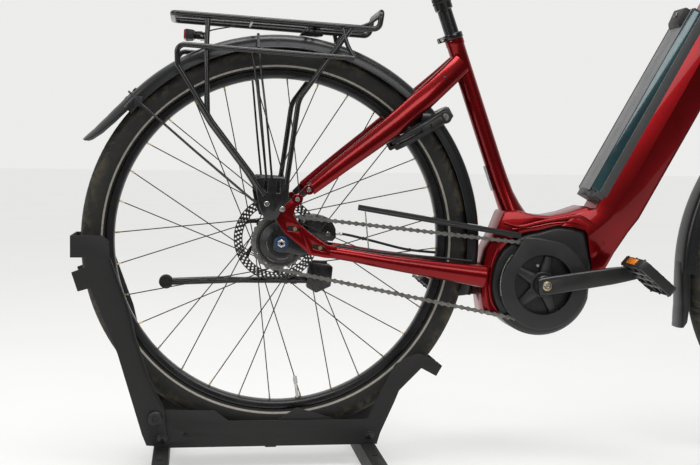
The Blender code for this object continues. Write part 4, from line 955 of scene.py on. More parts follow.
def make_rotor(name, axle, place, body):
    """A drilled braking band on six swept arms."""
    lay = LEVEL @ facing(axle + Vector((0, place - 0.0009, 0)), (0, 1, 0))
    band = ROTOR_RADIUS - 0.0165
    rows = [(54, ROTOR_RADIUS - 0.0036, 0.002, 0.0), (54, ROTOR_RADIUS - 0.0084, 0.0021, 2.2),
            (54, ROTOR_RADIUS - 0.0131, 0.0018, 4.4)]
    steel = brushed(f"{name}_steel", (0.11, 0.108, 0.1), 0.34, LEVEL @ axle, dirt=0.6)
    own(drilled_ring(name, steel, lay, band, ROTOR_RADIUS - 0.0002, 0.0018, rows), body, "bright_steel", name)
    arm = []
    for share in range(7):
        spread = share / 6
        radius = 0.0185 + (band + 0.001 - 0.0185) * spread
        turn = radians(34 * spread)
        middle = Vector((cos(turn), 0, sin(turn))) * radius
        across = Vector((-sin(turn), 0, cos(turn))) * (0.003 + 0.0022 * abs(spread - 0.5) * 2)
        arm.append([middle - across + Vector((0, -0.0008, 0)), middle + across + Vector((0, -0.0008, 0)),
                    middle + across + Vector((0, 0.0008, 0)), middle - across + Vector((0, 0.0008, 0))])
    place_arms = LEVEL @ Matrix.Translation(axle + Vector((0, place, 0)))
    own(ring_of(f"{name}_arms", loft(arm), 6, HUB, place_arms), body, "hub_black")
    boss = turned([(0.0098, -0.0009), (0.0215, -0.0009), (0.0215, 0.001), (0.015, 0.0036), (0.0098, 0.0036)],
                  40, axle + Vector((0, place, 0)))
    piece(f"{name}_lock_ring", boss, HUB, body=body)


def make_wheels():
    make_tyre("rear_tyre", ORIGIN, "rear_wheel", REAR)
    make_rim("rear_rim", ORIGIN, "rear_wheel")
    make_spokes("rear_spokes", ORIGIN, "rear_wheel", 0.0462, 0.0285)
    make_rear_hub()
    make_rotor("rear_brake_rotor", ORIGIN, ROTOR_PLACE, "rear_wheel")
    make_tyre("front_tyre", FRONT_AXLE, "front_wheel", FRONT)
    make_rim("front_rim", FRONT_AXLE, "front_wheel")
    make_spokes("front_spokes", FRONT_AXLE, "front_wheel", 0.03, 0.0215)
    make_front_hub()
    make_rotor("front_brake_rotor", FRONT_AXLE, 0.0345, "front_wheel")


def make_axle_ends():
    """The changer's cover with its grey arcs, the blue washers and the nuts."""
    cover = [(0.0056, -0.0672), (0.025, -0.067), (0.0275, -0.0655), (0.034, -0.0615), (0.0372, -0.059),
             (0.038, -0.056), (0.038, -0.0512), (0.0372, -0.0502), (0.0056, -0.0502)]
    piece("gear_changer_cover", turned(cover, 64), DARK_ARC, "gear_changer", crease=25)
    arcs = [washer(0.0278, 0.0296, -0.0664, -0.0644, 14, start=150, sweep=42),
            washer(0.0345, 0.0364, -0.0622, -0.06, 10, start=196, sweep=24),
            washer(0.0245, 0.0262, -0.0678, -0.0668, 14, start=236, sweep=38)]
    piece("gear_changer_marks", together(*arcs), CHAIN_STEEL)
    for side, word in SIDES:
        run = (0, side, 0)
        root = Vector((0, side * 0.0741, 0))
        cap = turned([(0, 0), (0.0132, 0), (0.0132, 0.0016), (0.0112, 0.0046), (0, 0.0046)], 32, root, run)
        piece(f"axle_washer_{word}", cap, AXLE_BLUE, slot="hub_black")
        nut = turned([(0.0032, 0.004), (0.0078, 0.004), (0.0078, 0.0074), (0.006, 0.0089), (0.0032, 0.0089)],
                     6, root, run)
        made = piece(f"axle_nut_{word}", nut, BOLT_STEEL, *(("rear_axle",) if side < 0 else ()),
                     edge=0.0005)
        shade(made.data, 30)
        pin = drum(0.0036, -0.006, 0.0078, 20, centre=root, run=run)
        piece(f"axle_end_{word}", pin, HUB)


# ---------------------------------------------------------------- drive
def pitch_radius(teeth):
    return CHAIN_PITCH / 2 / sin(pi / teeth)


def chain_line():
    """The chain's pitch line: two wraps joined by the outer tangents."""
    small = pitch_radius(SPROCKET_TEETH)
    large = pitch_radius(CHAINRING_TEETH)
    lift = degrees(atan2(BRACKET.z, BRACKET.x))
    spread = degrees(asin((large - small) / BRACKET.length))
    high = lift + 90 + spread
    low = lift - 90 - spread
    around = arc(small, high, low + 360, 60) + arc(large, low, high, 60, (BRACKET.x, BRACKET.z))
    return [Vector((x, CHAIN_PLACE, z)) for x, z in around]


def link_plate(y, thick, grow):
    """A waisted plate with a round end at each pin."""
    half = CHAIN_PITCH / 2
    end = arc(0.0042 + grow, -142, 142, 12, (half, 0)) + arc(0.0042 + grow, 38, 322, 12, (-half, 0))
    return slab(end, y - thick / 2, y + thick / 2)


def make_chain():
    half = CHAIN_PITCH / 2
    inner = [link_plate(s * 0.0018, 0.0009, -0.0002) for s in (-1, 1)]
    inner += [drum(0.0036, -0.0022, 0.0022, 12, 0.0003, centre=(s * half, 0, 0)) for s in (-1, 1)]
    outer = [link_plate(s * 0.003, 0.0009, 0.0) for s in (-1, 1)]
    outer += [drum(0.0019, -0.004, 0.004, 10, 0.0003, centre=(s * half, 0, 0)) for s in (-1, 1)]
    links = chain_links("chain_links", CHAIN_STEEL, chain_line(), together(*outer), together(*inner))
    own(links, "frame", "bright_steel", "chain")


def toothed(teeth, thick, hole, centre, place):
    """A chain wheel: a rounded valley at each roller and a point between."""
    outline = []
    root = pitch_radius(teeth) - 0.004
    step = 360.0 / teeth
    for n in range(teeth):
        angle = n * step
        for share, lift in ((0.0, 0.0), (0.22, 0.0012), (0.4, 0.0048), (0.5, 0.0058), (0.6, 0.0048),
                            (0.78, 0.0012)):
            turn = radians(angle + share * step)
            outline.append((centre.x + (root + lift) * cos(turn), centre.z
                            + (root + lift) * sin(turn)))
    wheel = slab(outline, place - thick / 2, place + thick / 2)
    low = place - thick
    return wheel, turned([(0, low), (hole, low), (hole, place + thick), (0, place + thick)], 48, centre)


def make_chain_wheels():
    wheel, hole = toothed(SPROCKET_TEETH, 0.002, 0.006, ORIGIN, CHAIN_PLACE)
    piece("rear_sprocket_teeth", wheel, CHAIN_STEEL, "rear_sprocket", body="driver", cuts=[hole])
    plate = turned([(0.006, -0.0495), (0.04, -0.049), (0.043, -0.0475), (0.043, -0.0455), (0.006, -0.0455)],
                   64)
    piece("rear_dust_plate", plate, DARK_ARC, body="driver", slot="hub_black", crease=25)
    wheel, hole = toothed(CHAINRING_TEETH, 0.0022, 0.056, BRACKET, CHAIN_PLACE)
    piece("chainring_teeth", wheel, HUB, "chainring", body="crankset", slot="bright_steel", cuts=[hole])
    arms = []
    for n in range(5):
        turn = radians(8 + 72 * n)
        along = on_circle(1.0, turn)
        across = Vector((-along.z, 0, along.x))
        marks = [(0.014, 0.012, -0.051), (0.03, 0.0095, -0.0495), (0.046, 0.008, -0.0475),
                 (0.06, 0.009, -0.0465)]
        rings = []
        for distance, half, face in marks:
            middle = BRACKET + along * distance
            rings.append([middle + across * a + Vector((0, y, 0)) for a, y in (
                (-half, -0.043), (-half, face + 0.0016), (-half * 0.72, face), (half * 0.72, face),
                (half, face + 0.0016), (half, -0.043))])
        arms.append(loft(rings))
    boss = turned([(0.0188, -0.0425), (0.024, -0.0425), (0.024, -0.05), (0.0225, -0.0515),
                   (0.0188, -0.0515)], 40, BRACKET)
    piece("chainring_spider", together(boss, *arms), RINGED, body="crankset", slot="bright_steel",
          edge=0.0006)
    backing = washer(0.0195, 0.056, -0.0405, -0.0395, 64, centre=BRACKET)
    piece("chainring_back_plate", backing, DARK_ARC, body="crankset", slot="bright_steel")
    spots = [BRACKET + on_circle(r, radians(a), -0.0402) for r, a in ((0.036, 107.0), (0.031, 287.0))]
    screws("chainring_screws", spots, (0, -1, 0), 0.0034, "crankset", "bright_steel")


def crank_shape(direction, side):
    """The arm, thinned and rounded towards the pedal eye."""
    across = Vector((-direction.z, 0, direction.x))
    marks = [(-0.0172, 0.009, 0.0), (-0.015, 0.014, 0.0), (-0.01, 0.0158, 0.0), (0.006, 0.0165, 0.0),
             (0.07, 0.016, 0.0), (0.125, 0.0155, 0.0004), (0.15, 0.0142, 0.0006),
             (CRANK_LENGTH, 0.0126, 0.0008), (CRANK_LENGTH + 0.008, 0.0092, 0.0008),
             (CRANK_LENGTH + 0.0112, 0.005, 0.001)]
    rings = []
    for distance, half, thin in marks:
        middle = BRACKET + direction * distance
        low = CRANK_INNER + thin
        high = CRANK_OUTER - thin
        soft = 0.0022
        section = [(-half, low + soft), (-half, high - soft), (-half + soft, high), (half - soft, high),
                   (half, high - soft), (half, low + soft), (half - soft, low), (-half + soft, low)]
        rings.append([middle + across * a + Vector((0, side * b, 0)) for a, b in section])
    return loft(rings)


def make_cranks():
    forward = (PEDAL_AXLE - BRACKET)
    forward = Vector((forward.x, 0, forward.z)).normalized()
    for side, direction, word in ((-1, forward, "right"), (1, -forward, "left")):
        eye = BRACKET + direction * CRANK_LENGTH
        well = turned([(0, CRANK_OUTER - 0.0045), (0.0095, CRANK_OUTER - 0.0045),
                       (0.0095, CRANK_OUTER + 0.01), (0, CRANK_OUTER + 0.01)], 32,
                      Vector((BRACKET.x, 0, BRACKET.z)), (0, side, 0))
        hole = turned([(0, 0.05), (0.0056, 0.05), (0.0056, 0.09), (0, 0.09)], 24, Vector((eye.x, 0, eye.z)),
                      (0, side, 0))
        piece(f"crank_arm_{word}", crank_shape(direction, side), CRANK, f"crank_{word}", body="crankset",
              slot="crank_grey", cuts=[well, hole], edge=0.0004, crease=30)
        root = Vector((BRACKET.x, 0, BRACKET.z))
        boss = turned([(0.0103, 0.0388), (0.0185, 0.0388), (0.0185, 0.064), (0.0165, 0.0665),
                       (0.0103, 0.0665)], 40, root, (0, side, 0))
        piece(f"crank_boss_{word}", boss, CRANK, body="crankset", slot="crank_grey")
        ring = turned([(0.0062, 0), (0.0092, 0), (0.009, 0.0024), (0.0062, 0.003)], 32,
                      root + Vector((0, side * (CRANK_OUTER - 0.0046), 0)), (0, side, 0))
        piece(f"crank_dust_ring_{word}", ring, BRASS, body="crankset", slot="crank_grey")
        screws(f"crank_bolt_{word}", [root + Vector((0, side * (CRANK_OUTER - 0.0046), 0))], (0, side, 0),
               0.0058, "crankset", "bright_steel", height=0.0036)
    spindle = drum(0.0098, -0.0735, 0.0735, 32, centre=Vector((BRACKET.x, 0, BRACKET.z)))
    piece("crank_spindle", spindle, CHAIN_STEEL, body="crankset")


def make_pedals():
    lean = Matrix.Rotation(radians(38.0), 4, "Y")
    low = CRANK_OUTER + 0.008
    long_half = 0.0405
    for side, word in SIDES:
        centre = TO_LEVEL @ Vector(joint(f"pedal_{word}_spin")["pos_m"])
        centre = Vector((centre.x, 0, centre.z))
        place = LEVEL @ Matrix.Translation(centre) @ lean
        if side < 0:
            place = place @ Matrix.Rotation(pi, 4, "Z")
        high = low + 0.098
        body = f"pedal_{word}"
        frame_line = rounded([(-long_half, low, 0), (long_half, low, 0), (long_half, high, 0),
                              (-long_half, high, 0)], 0.01, 5, True)
        rings = []
        middle = Vector((0, (low + high) / 2, 0))
        for point in frame_line:
            inward = middle - point
            inward = Vector((inward.x, inward.y * 0.8, 0)).normalized() * 0.009
            rings.append([point + Vector((0, 0, -0.0085)), point + Vector((0, 0, 0.0085)),
                          point + inward * 0.8 + Vector((0, 0, 0.01)), point + inward * 0.8
                          + Vector((0, 0, -0.01))])
        shapes = [loft(rings, closed=True), drum(0.0085, low - 0.001, high - 0.004, 24)]
        shapes += [block((x - 0.0035, low + 0.004, -0.0088), (x + 0.0035, high - 0.004, 0.0088))
                   for x in (-0.0175, 0.0175)]
        shapes += [block((-long_half + 0.004, y - 0.003, -0.008), (long_half - 0.004, y + 0.003, 0.008))
                   for y in (low + 0.034, low + 0.066)]
        piece(f"{body}_platform", together(*shapes), PLASTIC, body, body=body, place=place, edge=0.0008)
        studs = row_of(f"{body}_studs",
                       together(*[drum(0.0019, z - 0.0012, z + 0.0012, 8, 0.0004, centre=(0, y, 0),
                                       run=(0, 0, 1)) for y in (low + 0.01, low + 0.05, high - 0.01)
                                  for z in (-0.0098, 0.0098)]), 6, PLASTIC,
                       place @ Matrix.Translation((-0.0375, 0, 0)), 0.015)
        own(studs, body, "black_plastic")
        lens = [block((s * (long_half + 0.0004) - 0.0012, low + 0.03, -0.006),
                      (s * (long_half + 0.0004) + 0.0012, low + 0.07, 0.006)) for s in (-1, 1)]
        piece(f"{body}_reflectors", together(*lens), AMBER, body=body, slot="lamp_red", place=place,
              edge=0.0006)
        inner = CRANK_INNER + 0.002
        pin = turned([(0, inner), (0.0048, inner), (0.0048, CRANK_OUTER + 0.001),
                      (0.008, CRANK_OUTER + 0.001), (0.008, low - 0.001), (0.005, low), (0.005, low + 0.02),
                      (0, low + 0.02)], 24, centre, (0, side, 0))
        piece(f"{body}_spindle", pin, CHAIN_STEEL, body=body)


def motor_outline(grow=0.0):
    centre = (BRACKET.x, BRACKET.z)
    corners = [(0.5884 + grow, -0.0184), (0.5735 + grow, 0.042), (0.569 + grow, 0.0485 + grow)]
    corners += [(0.545, 0.054 + grow), (0.52, 0.0547 + grow), (0.5, 0.049 + grow)]
    return corners + arc(0.0975 + grow, 98, 345, 48, centre)


def make_motor():
    half = 0.037
    inner = [(BRACKET.x + (x - BRACKET.x) * 0.94, BRACKET.z + (z - BRACKET.z) * 0.94)
             for x, z in motor_outline()]
    rings = [(inner, -half), (motor_outline(), -half + 0.006), (motor_outline(), half - 0.006), (inner, half)]
    shape = loft([[Vector((x, y, z)) for x, z in line] for line, y in rings])
    bore = turned([(0, -0.05), (0.0107, -0.05), (0.0107, 0.05), (0, 0.05)], 32, BRACKET)
    piece("motor_case", shape, MOTOR_PLASTIC, "motor", cuts=[bore], edge=0.0012, crease=30)
    raised = turned([(0.06, half - 0.001), (0.06, half + 0.0012), (0.078, half + 0.0012),
                     (0.08, half - 0.001)], 64, BRACKET)
    piece("motor_cover_ring", together(raised), MOTOR_PLASTIC, crease=25)
    spots = [BRACKET + on_circle(0.0865, radians(a), half) for a in (110, 160, 210, 260, 310)]
    screws("motor_screws", spots, (0, 1, 0), 0.0032, "frame", "black_plastic", BLACK)


def make_ring_guard():
    """The fixed cover ring, drawn out to a corner where the chain comes in."""
    centre = (BRACKET.x, BRACKET.z)
    corner = (BRACKET.x - 0.041, BRACKET.z + 0.0865)
    rim = arc(0.084, 172, 430, 72, centre) + [(centre[0] - 0.01, corner[1] - 0.001), corner]
    soft = [(centre[0] + (x - centre[0]) * 0.975, centre[1] + (z - centre[1]) * 0.975) for x, z in rim]
    rings = [(soft, -0.056), (rim, -0.0546), (rim, -0.053)]
    face = loft([[Vector((x, y, z)) for x, z in line] for line, y in rings])
    hole = turned([(0, -0.07), (0.057, -0.07), (0.056, -0.0556), (0.055, -0.0535), (0.055, -0.04),
                   (0, -0.04)], 72, BRACKET)
    piece("chain_cover_ring", face, RINGED, "chainring_guard", cuts=[hole], edge=0.0003, crease=20)
    inner = -0.0373
    skirt = washer(0.0805, 0.0835, -0.0532, inner, 40, centre=BRACKET, start=236, sweep=36)
    piece("chain_cover_skirt", skirt, RINGED, edge=0.0004)
    shroud = washer(0.0788, 0.0802, -0.0532, -0.0376, 80, centre=BRACKET, start=-88, sweep=150)
    piece("chain_cover_inner_wall", shroud, RINGED)
    # A bright arc painted on the rear of the cover's black plastic lip: a painted highlight, not a steel
    # trim.
    lip_highlight = washer(0.0826, 0.084, -0.0568, -0.0556, 30, centre=BRACKET, start=254, sweep=56)
    piece("chain_cover_lip", lip_highlight, BOLT_STEEL, slot="black_plastic")


def make_chain_guard():
    rear = Vector((0.1385, 0, 0.07))
    front = Vector((0.444, 0, 0.0335))
    run = (front - rear).normalized()
    side = Vector((-run.z, 0, run.x))
    section = [(-0.005, -0.0515), (-0.0014, -0.0515), (-0.0006, -0.0506), (0.0034, -0.0506),
               (0.0042, -0.0512), (0.0052, -0.0505), (0.0052, -0.04), (0.004, -0.0395), (-0.005, -0.0395)]
    rings = [[spot + side * a + Vector((0, y, 0)) for a, y in section] for spot in (rear, front)]
    piece("chain_guard_bar", loft(rings), PLASTIC, "chain_guard", edge=0.0005, crease=30)
    strut = smooth([(0.1505, -0.05, 0.066), (0.1545, -0.0535, 0.035), (0.16, -0.0555, -0.004)], 4)
    piece("chain_guard_strut", tube(strut, 0.0013, 10), BOLT_STEEL)
    tapes = []
    for near, far in ((0.052, 0.125), (0.205, 0.232)):
        low = rear + run * near + side * 0.0056
        high = rear + run * far + side * 0.0056
        strip = [(-0.0006, -0.0508), (0.0004, -0.0508), (0.0004, -0.0402), (-0.0006, -0.0402)]
        tapes.append(loft([[spot + side * a + Vector((0, y, 0)) for a, y in strip] for spot in (low, high)]))
    piece("chain_guard_tape", together(*tapes), PALE_TAPE, slot="black_plastic")


# ---------------------------------------------------------------- frame
def make_seat_tube():
    """A round tube that spreads where it meets the motor's cradle."""
    rings = []
    marks = [(0.128, 0.03, 0.03), (0.15, 0.0235, 0.026), (0.175, 0.0188, 0.022), (0.205, 0.0172, 0.0185),
             (0.24, SEAT_TUBE_RADIUS, SEAT_TUBE_RADIUS), (0.42, SEAT_TUBE_RADIUS, SEAT_TUBE_RADIUS),
             (SEAT_TUBE_TOP - 0.012, SEAT_TUBE_RADIUS, SEAT_TUBE_RADIUS),
             (SEAT_TUBE_TOP - 0.01, 0.0178, 0.0178), (SEAT_TUBE_TOP - 0.001, 0.0178, 0.0178),
             (SEAT_TUBE_TOP, 0.017, 0.017)]
    square = Vector((SEAT_RUN.z, 0, -SEAT_RUN.x))
    for distance, ahead, wide in marks:
        middle = along_seat(distance)
        ring = []
        for n in range(40):
            turn = 2 * pi * n / 40
            forward = ahead if cos(turn) > 0 else min(ahead, 0.0172)
            ring.append(middle + square * cos(turn) * forward + Vector((0, sin(turn) * wide, 0)))
        rings.append(ring)
    bore = turned([(0, SEAT_TUBE_TOP - 0.1), (0.0138, SEAT_TUBE_TOP - 0.1), (0.0138, SEAT_TUBE_TOP + 0.02),
                   (0, SEAT_TUBE_TOP + 0.02)], 40, SEAT_FOOT, SEAT_RUN)
    piece("seat_tube_shell", loft(rings), RED, "seat_tube", cuts=[bore])
    tape = Vector((0.3886, 0, 0.1355))
    strip = block((-0.0012, -0.006, -0.024), (0.001, 0.006, 0.024))
    tilt = Matrix.Rotation(FRAME_LEAN, 4, "Y")
    moved(strip, Matrix.Translation(tape + Vector((-0.0012, 0, 0))) @ tilt)
    piece("seat_tube_reflector", strip, PALE_TAPE, slot="frame_paint", edge=0.0004)


def make_seat_clamp():
    low = SEAT_TUBE_TOP + 0.0003
    profile = [(0.0139, low), (0.0182, low), (0.0188, low + 0.0015), (0.0188, low + 0.0095),
               (0.0182, low + 0.011), (0.0139, low + 0.011)]
    ring = turned(profile, 48, SEAT_FOOT, SEAT_RUN)
    ear = block((-0.029, -0.008, -0.0048), (-0.015, -0.0012, 0.0048))
    other = block((-0.029, 0.0012, -0.0048), (-0.015, 0.008, 0.0048))
    turn = Matrix.Translation(along_seat(low + 0.0055)) @ Matrix.Rotation(FRAME_LEAN, 4, "Y")
    for half in (ear, other):
        moved(half, turn)
    piece("seat_clamp_collar", together(ring, ear, other), BLACK, "seat_clamp", edge=0.0006)
    bolt = turn @ Vector((-0.0235, -0.008, 0))
    screws("seat_clamp_bolt", [bolt], (0, -1, 0), 0.0036, "frame", "bright_steel")


def make_seat_post():
    low = SEAT_TUBE_TOP - 0.12
    profile = [(0, low), (0.0136, low), (0.0136, 0.534), (0.0168, 0.5362), (0.017, 0.542), (0.017, 0.606),
               (0.0158, 0.6175), (0, 0.6175)]
    piece("seatpost_tube", turned(profile, 48, SEAT_FOOT, SEAT_RUN), BLACK, "seatpost", body="seat",
          crease=30)
    rings = [washer(0.0169, 0.0176, 0.548 + 0.006 * n, 0.551 + 0.006 * n, 40, centre=SEAT_FOOT, run=SEAT_RUN)
             for n in range(8)]
    piece("seatpost_bellows", together(*rings), GRIP, body="seat")


def saddle_section(x, half, crown, skirt, seat):
    ring = []
    for n in range(28):
        turn = 2 * pi * n / 28
        across = copysign(abs(cos(turn)) ** 0.62, cos(turn)) * half
        rise = sin(turn)
        channel = 0.0028 * exp(-(across / 0.01) ** 2) * (1 if rise > 0 else 0)
        z = skirt + (crown - skirt) * rise ** 0.75 - channel if rise > 0 else skirt * (1 + rise)
        ring.append(seat + Vector((x, across, z)))
    return ring


def make_saddle():
    """A wide padded cover with a channel, a moulded base, two rails and a clamp."""
    seat = along_seat(0.651)
    halves = [0.04, 0.078, 0.094, 0.101, 0.098, 0.084, 0.064, 0.047, 0.036, 0.029, 0.026, 0.024, 0.018, 0.009]
    crowns = [0.03, 0.038, 0.042, 0.0435, 0.043, 0.041, 0.0385, 0.0365, 0.035, 0.034, 0.034, 0.034, 0.031,
              0.022]
    rings = []
    steps = 34
    for n in range(steps + 1):
        share = n / steps
        x = -0.139 + 0.26 * share
        half = blend_points(halves, share)
        rings.append(saddle_section(x, half, blend_points(crowns, share), 0.012 if half > 0.06 else 0.008,
                                    seat))
    cover = piece("saddle_cover", loft(rings), SADDLE, "saddle", body="seat", slot="saddle_cover", crease=60)
    rails = []
    for side in (-1, 1):
        line = smooth([(-0.105, side * 0.036, 0.004), (-0.085, side * 0.03, -0.012),
                       (-0.04, side * 0.022, -0.02), (0.02, side * 0.021, -0.02),
                       (0.062, side * 0.012, -0.008), (0.086, side * 0.006, 0.006)], 5)
        rails.append(tube([seat + p for p in line], 0.0035, 12))
    piece("saddle_rails", together(*rails), CHAIN_STEEL, body="seat")
    clamp = [drum(0.0125, -0.026, 0.026, 28, 0.002, centre=seat + Vector((-0.01, 0, -0.021))),
             rod(along_seat(0.6183), along_seat(0.6183) + SEAT_RUN * 0.022, 0.015, 28)]
    piece("saddle_clamp", together(*clamp), BLACK, body="seat", edge=0.0008)


def make_head_tube():
    line = [(0.0148, 0), (0.0255, 0), (0.0258, 0.003), (0.0258, 0.01), (HEAD_RADIUS, 0.013),
            (HEAD_RADIUS, HEAD_LENGTH - 0.013), (0.0258, HEAD_LENGTH - 0.01), (0.0258, HEAD_LENGTH - 0.003),
            (0.025, HEAD_LENGTH), (0.0148, HEAD_LENGTH)]
    piece("head_tube_shell", turned(line, 56, STEER_FOOT, HEAD_RUN), RED, "head_tube")
    caps = [turned([(0.0148, h), (0.0246, h), (0.0246, h + 0.0022), (0.0148, h + 0.0022)], 48, STEER_FOOT,
                   HEAD_RUN) for h in (-0.0001, HEAD_LENGTH - 0.002)]
    piece("headset_rims", together(*caps), BLACK)


def tube_section(top, low, wide=0.0425):
    """Across the downtube: a flat top, a crease along each flank, and a narrower underside."""
    span = low - top
    half = [(0.0, wide - 0.008), (0.025, wide - 0.005), (0.4, wide), (0.94, wide - 0.0118),
            (1.0, wide - 0.016)]
    ring = [top + span * share + Vector((0, -y, 0)) for share, y in half]
    return ring + [top + span * share + Vector((0, y, 0)) for share, y in reversed(half)]


def make_down_tube():
    square = Vector((HEAD_RUN.z, 0, -HEAD_RUN.x))
    stop = square.dot(STEER_FOOT) - HEAD_RADIUS + 0.004

    def meet(depth):
        run = (stop - square.dot(DOWN_OUT * depth)) / square.dot(DOWN_RUN)
        return along_down_tube(run, depth)

    stations = [(Vector((0.52, 0, 0.056)), Vector((0.59, 0, -0.042))),
                (Vector((0.548, 0, 0.08)), Vector((0.6176, 0, -0.023))),
                (Vector((0.571, 0, 0.087)), Vector((0.633, 0, 0.008))),
                (along_down_tube(0.345, DOWN_TOP_FACE), along_down_tube(0.34, DOWN_LOW_FACE - 0.005)),
                (along_down_tube(0.36, DOWN_TOP_FACE), along_down_tube(0.372, DOWN_LOW_FACE)),
                (along_down_tube(0.42, DOWN_TOP_FACE), along_down_tube(0.42, DOWN_LOW_FACE)),
                (along_down_tube(0.6, DOWN_TOP_FACE), along_down_tube(0.6, DOWN_LOW_FACE)),
                (meet(DOWN_TOP_FACE), meet(DOWN_LOW_FACE))]
    rings = [tube_section(top, low, 0.0425 if n < 7 else 0.036) for n, (top, low) in enumerate(stations)]
    bay = [along_down_tube(s, d) for s, d in ((BATTERY_START - 0.0003, 0.4), (BATTERY_END + 0.0003, 0.4),
                                              (BATTERY_END + 0.0003, 0.5403),
                                              (BATTERY_START - 0.0003, 0.5403))]
    cuts = [slab(motor_outline(0.0006), -0.06, 0.06), slab([(p.x, p.z) for p in bay], -0.0335, 0.0335)]
    piece("down_tube_shell", loft(rings), RED, "down_tube", cuts=cuts, edge=0.0022, crease=14)
    lug = [(0.404, -0.12), (0.386, -0.115), (0.3795, -0.082), (0.3785, -0.03), (0.384, 0.004), (0.4, 0.04),
           (0.413, 0.078), (0.44, 0.0795), (0.47, 0.0735), (0.5, 0.0728), (0.532, 0.0803), (0.5694, 0.0949),
           (0.605, 0.08), (0.615, 0.02), (0.56, -0.04), (0.5, -0.04)]
    room = slab(motor_outline(0.0006), -0.06, 0.06)
    piece("motor_cradle", slab(lug, -0.0365, 0.0365), RED, cuts=[room], edge=0.0045, crease=25)
    for side, word in SIDES:
        upper = smooth(flipped([(0.412, 0.035, 0.056), (0.4444, 0.0372, 0.05), (0.4816, 0.0374, 0.06),
                                (0.52, 0.0376, 0.0685), (0.5524, 0.0384, 0.0745), (0.57, 0.039, 0.069),
                                (0.582, 0.0392, 0.06)], side), 4)
        lower = smooth(flipped([(0.43, 0.0372, 0.044), (0.47, 0.0376, 0.05), (0.5, 0.0376, 0.0575),
                                (0.54, 0.038, 0.0625), (0.57, 0.0386, 0.057)], side), 4)
        piece(f"cradle_seam_{word}", together(tube(upper, 0.0032, 12), tube(lower, 0.002, 10)), RED)
        rear = smooth(flipped([(0.406, 0.036, 0.006), (0.396, 0.0366, -0.025), (0.3935, 0.0366, -0.055),
                               (0.399, 0.0366, -0.09), (0.412, 0.036, -0.112)], side), 4)
        piece(f"cradle_rim_{word}", tube(rear, 0.0036, 12), RED)


def make_battery():
    lid_low = 0.4572

    def long_slab(low, high, start, end, half_low, half_high, soft=0.003):
        """A bar along the tube, from one depth to another."""
        rings = []
        for distance, inset in ((start, soft), (start + soft, 0.0), (end - soft, 0.0), (end, soft)):
            ring = []
            for depth, wide in ((high, half_high - inset * 0.5), (low, half_low - inset)):
                ring.append(along_down_tube(distance, depth, -wide))
            for depth, wide in ((low, half_low - inset), (high, half_high - inset * 0.5)):
                ring.append(along_down_tube(distance, depth, wide))
            rings.append(ring)
        return loft(rings)

    body = long_slab(0.46, 0.54, BATTERY_START, BATTERY_END, 0.0332, 0.0332, 0.001)
    piece("battery_body", body, GASKET, "battery", body="battery")
    glass = long_slab(0.4572, 0.4752, BATTERY_START + 0.015, BATTERY_END - 0.004, 0.0345, 0.0372, 0.001)
    piece("battery_side_panels", glass, TEAL, body="battery", slot="battery_case", edge=0.0016)
    lid = long_slab(LID_CROWN, lid_low, BATTERY_START + 0.01, BATTERY_END - 0.004, 0.012, 0.0335, 0.004)
    piece("battery_lid", lid, LID, body="battery", slot="battery_case", edge=0.0035)
    turn = Matrix(((DOWN_RUN.x, 0, -DOWN_OUT.x, 0), (0, 1, 0, 0), (DOWN_RUN.z, 0, -DOWN_OUT.z, 0),
                   (0, 0, 0, 1)))
    count = 130
    stride = (BATTERY_END - BATTERY_START - 0.04) / count
    place = LEVEL @ Matrix.Translation(along_down_tube(BATTERY_START + 0.02, LID_CROWN + 0.0002)) @ turn
    rib = block((-stride * 0.28, -0.0105, -0.0004), (stride * 0.28, 0.0105, 0.0004))
    own(row_of("battery_lid_ribs", rib, count, LID, place, stride), "battery", "battery_case")
    seal = together(*[moved(long_slab(0.4742, 0.4916, BATTERY_START + 0.012, BATTERY_END - 0.002, 0.0022,
                                      0.0022, 0.001), Matrix.Translation((0, side * 0.0362, 0)))
                      for side in (-1, 1)])
    piece("battery_side_seals", seal, GASKET, body="battery", edge=0.001)
    for side, word in SIDES:
        line = [along_down_tube(s, 0.4748, side * 0.0379)
                for s in (BATTERY_START + 0.016, BATTERY_END - 0.006)]
        piece(f"battery_trim_{word}", rod(*line, 0.0006, 10), CHAIN_STEEL, body="battery",
              slot="battery_case")
        upper = [along_down_tube(s, 0.457, side * 0.0342)
                 for s in (BATTERY_START + 0.014, BATTERY_END - 0.004)]
        piece(f"battery_lid_seam_{word}", rod(*upper, 0.0008, 10), MOTOR_PLASTIC, body="battery",
              slot="battery_case")
    foot = together(long_slab(0.4545, 0.47, BATTERY_START + 0.001, BATTERY_START + 0.013, 0.016, 0.037,
                              0.002), long_slab(0.469, 0.4945, BATTERY_START + 0.0035, BATTERY_START + 0.016,
                                                0.0384, 0.0372, 0.002))
    piece("battery_foot_seal", foot, GASKET, body="battery", edge=0.0015)
    latch = [along_down_tube(s, d) for s, d in ((0.72, 0.464), (0.722, 0.4525), (0.729, 0.447),
                                                (0.756, 0.4445), (0.7605, 0.447), (0.7605, 0.464))]
    piece("battery_latch", slab([(p.x, p.z) for p in latch], -0.026, 0.026), PLASTIC, body="battery",
          slot="battery_case", edge=0.004)
    key = along_down_tube(0.744, 0.4458)
    screws("battery_key", [key], -DOWN_OUT, 0.0062, "battery", "bright_steel", CHAIN_STEEL, height=0.003)


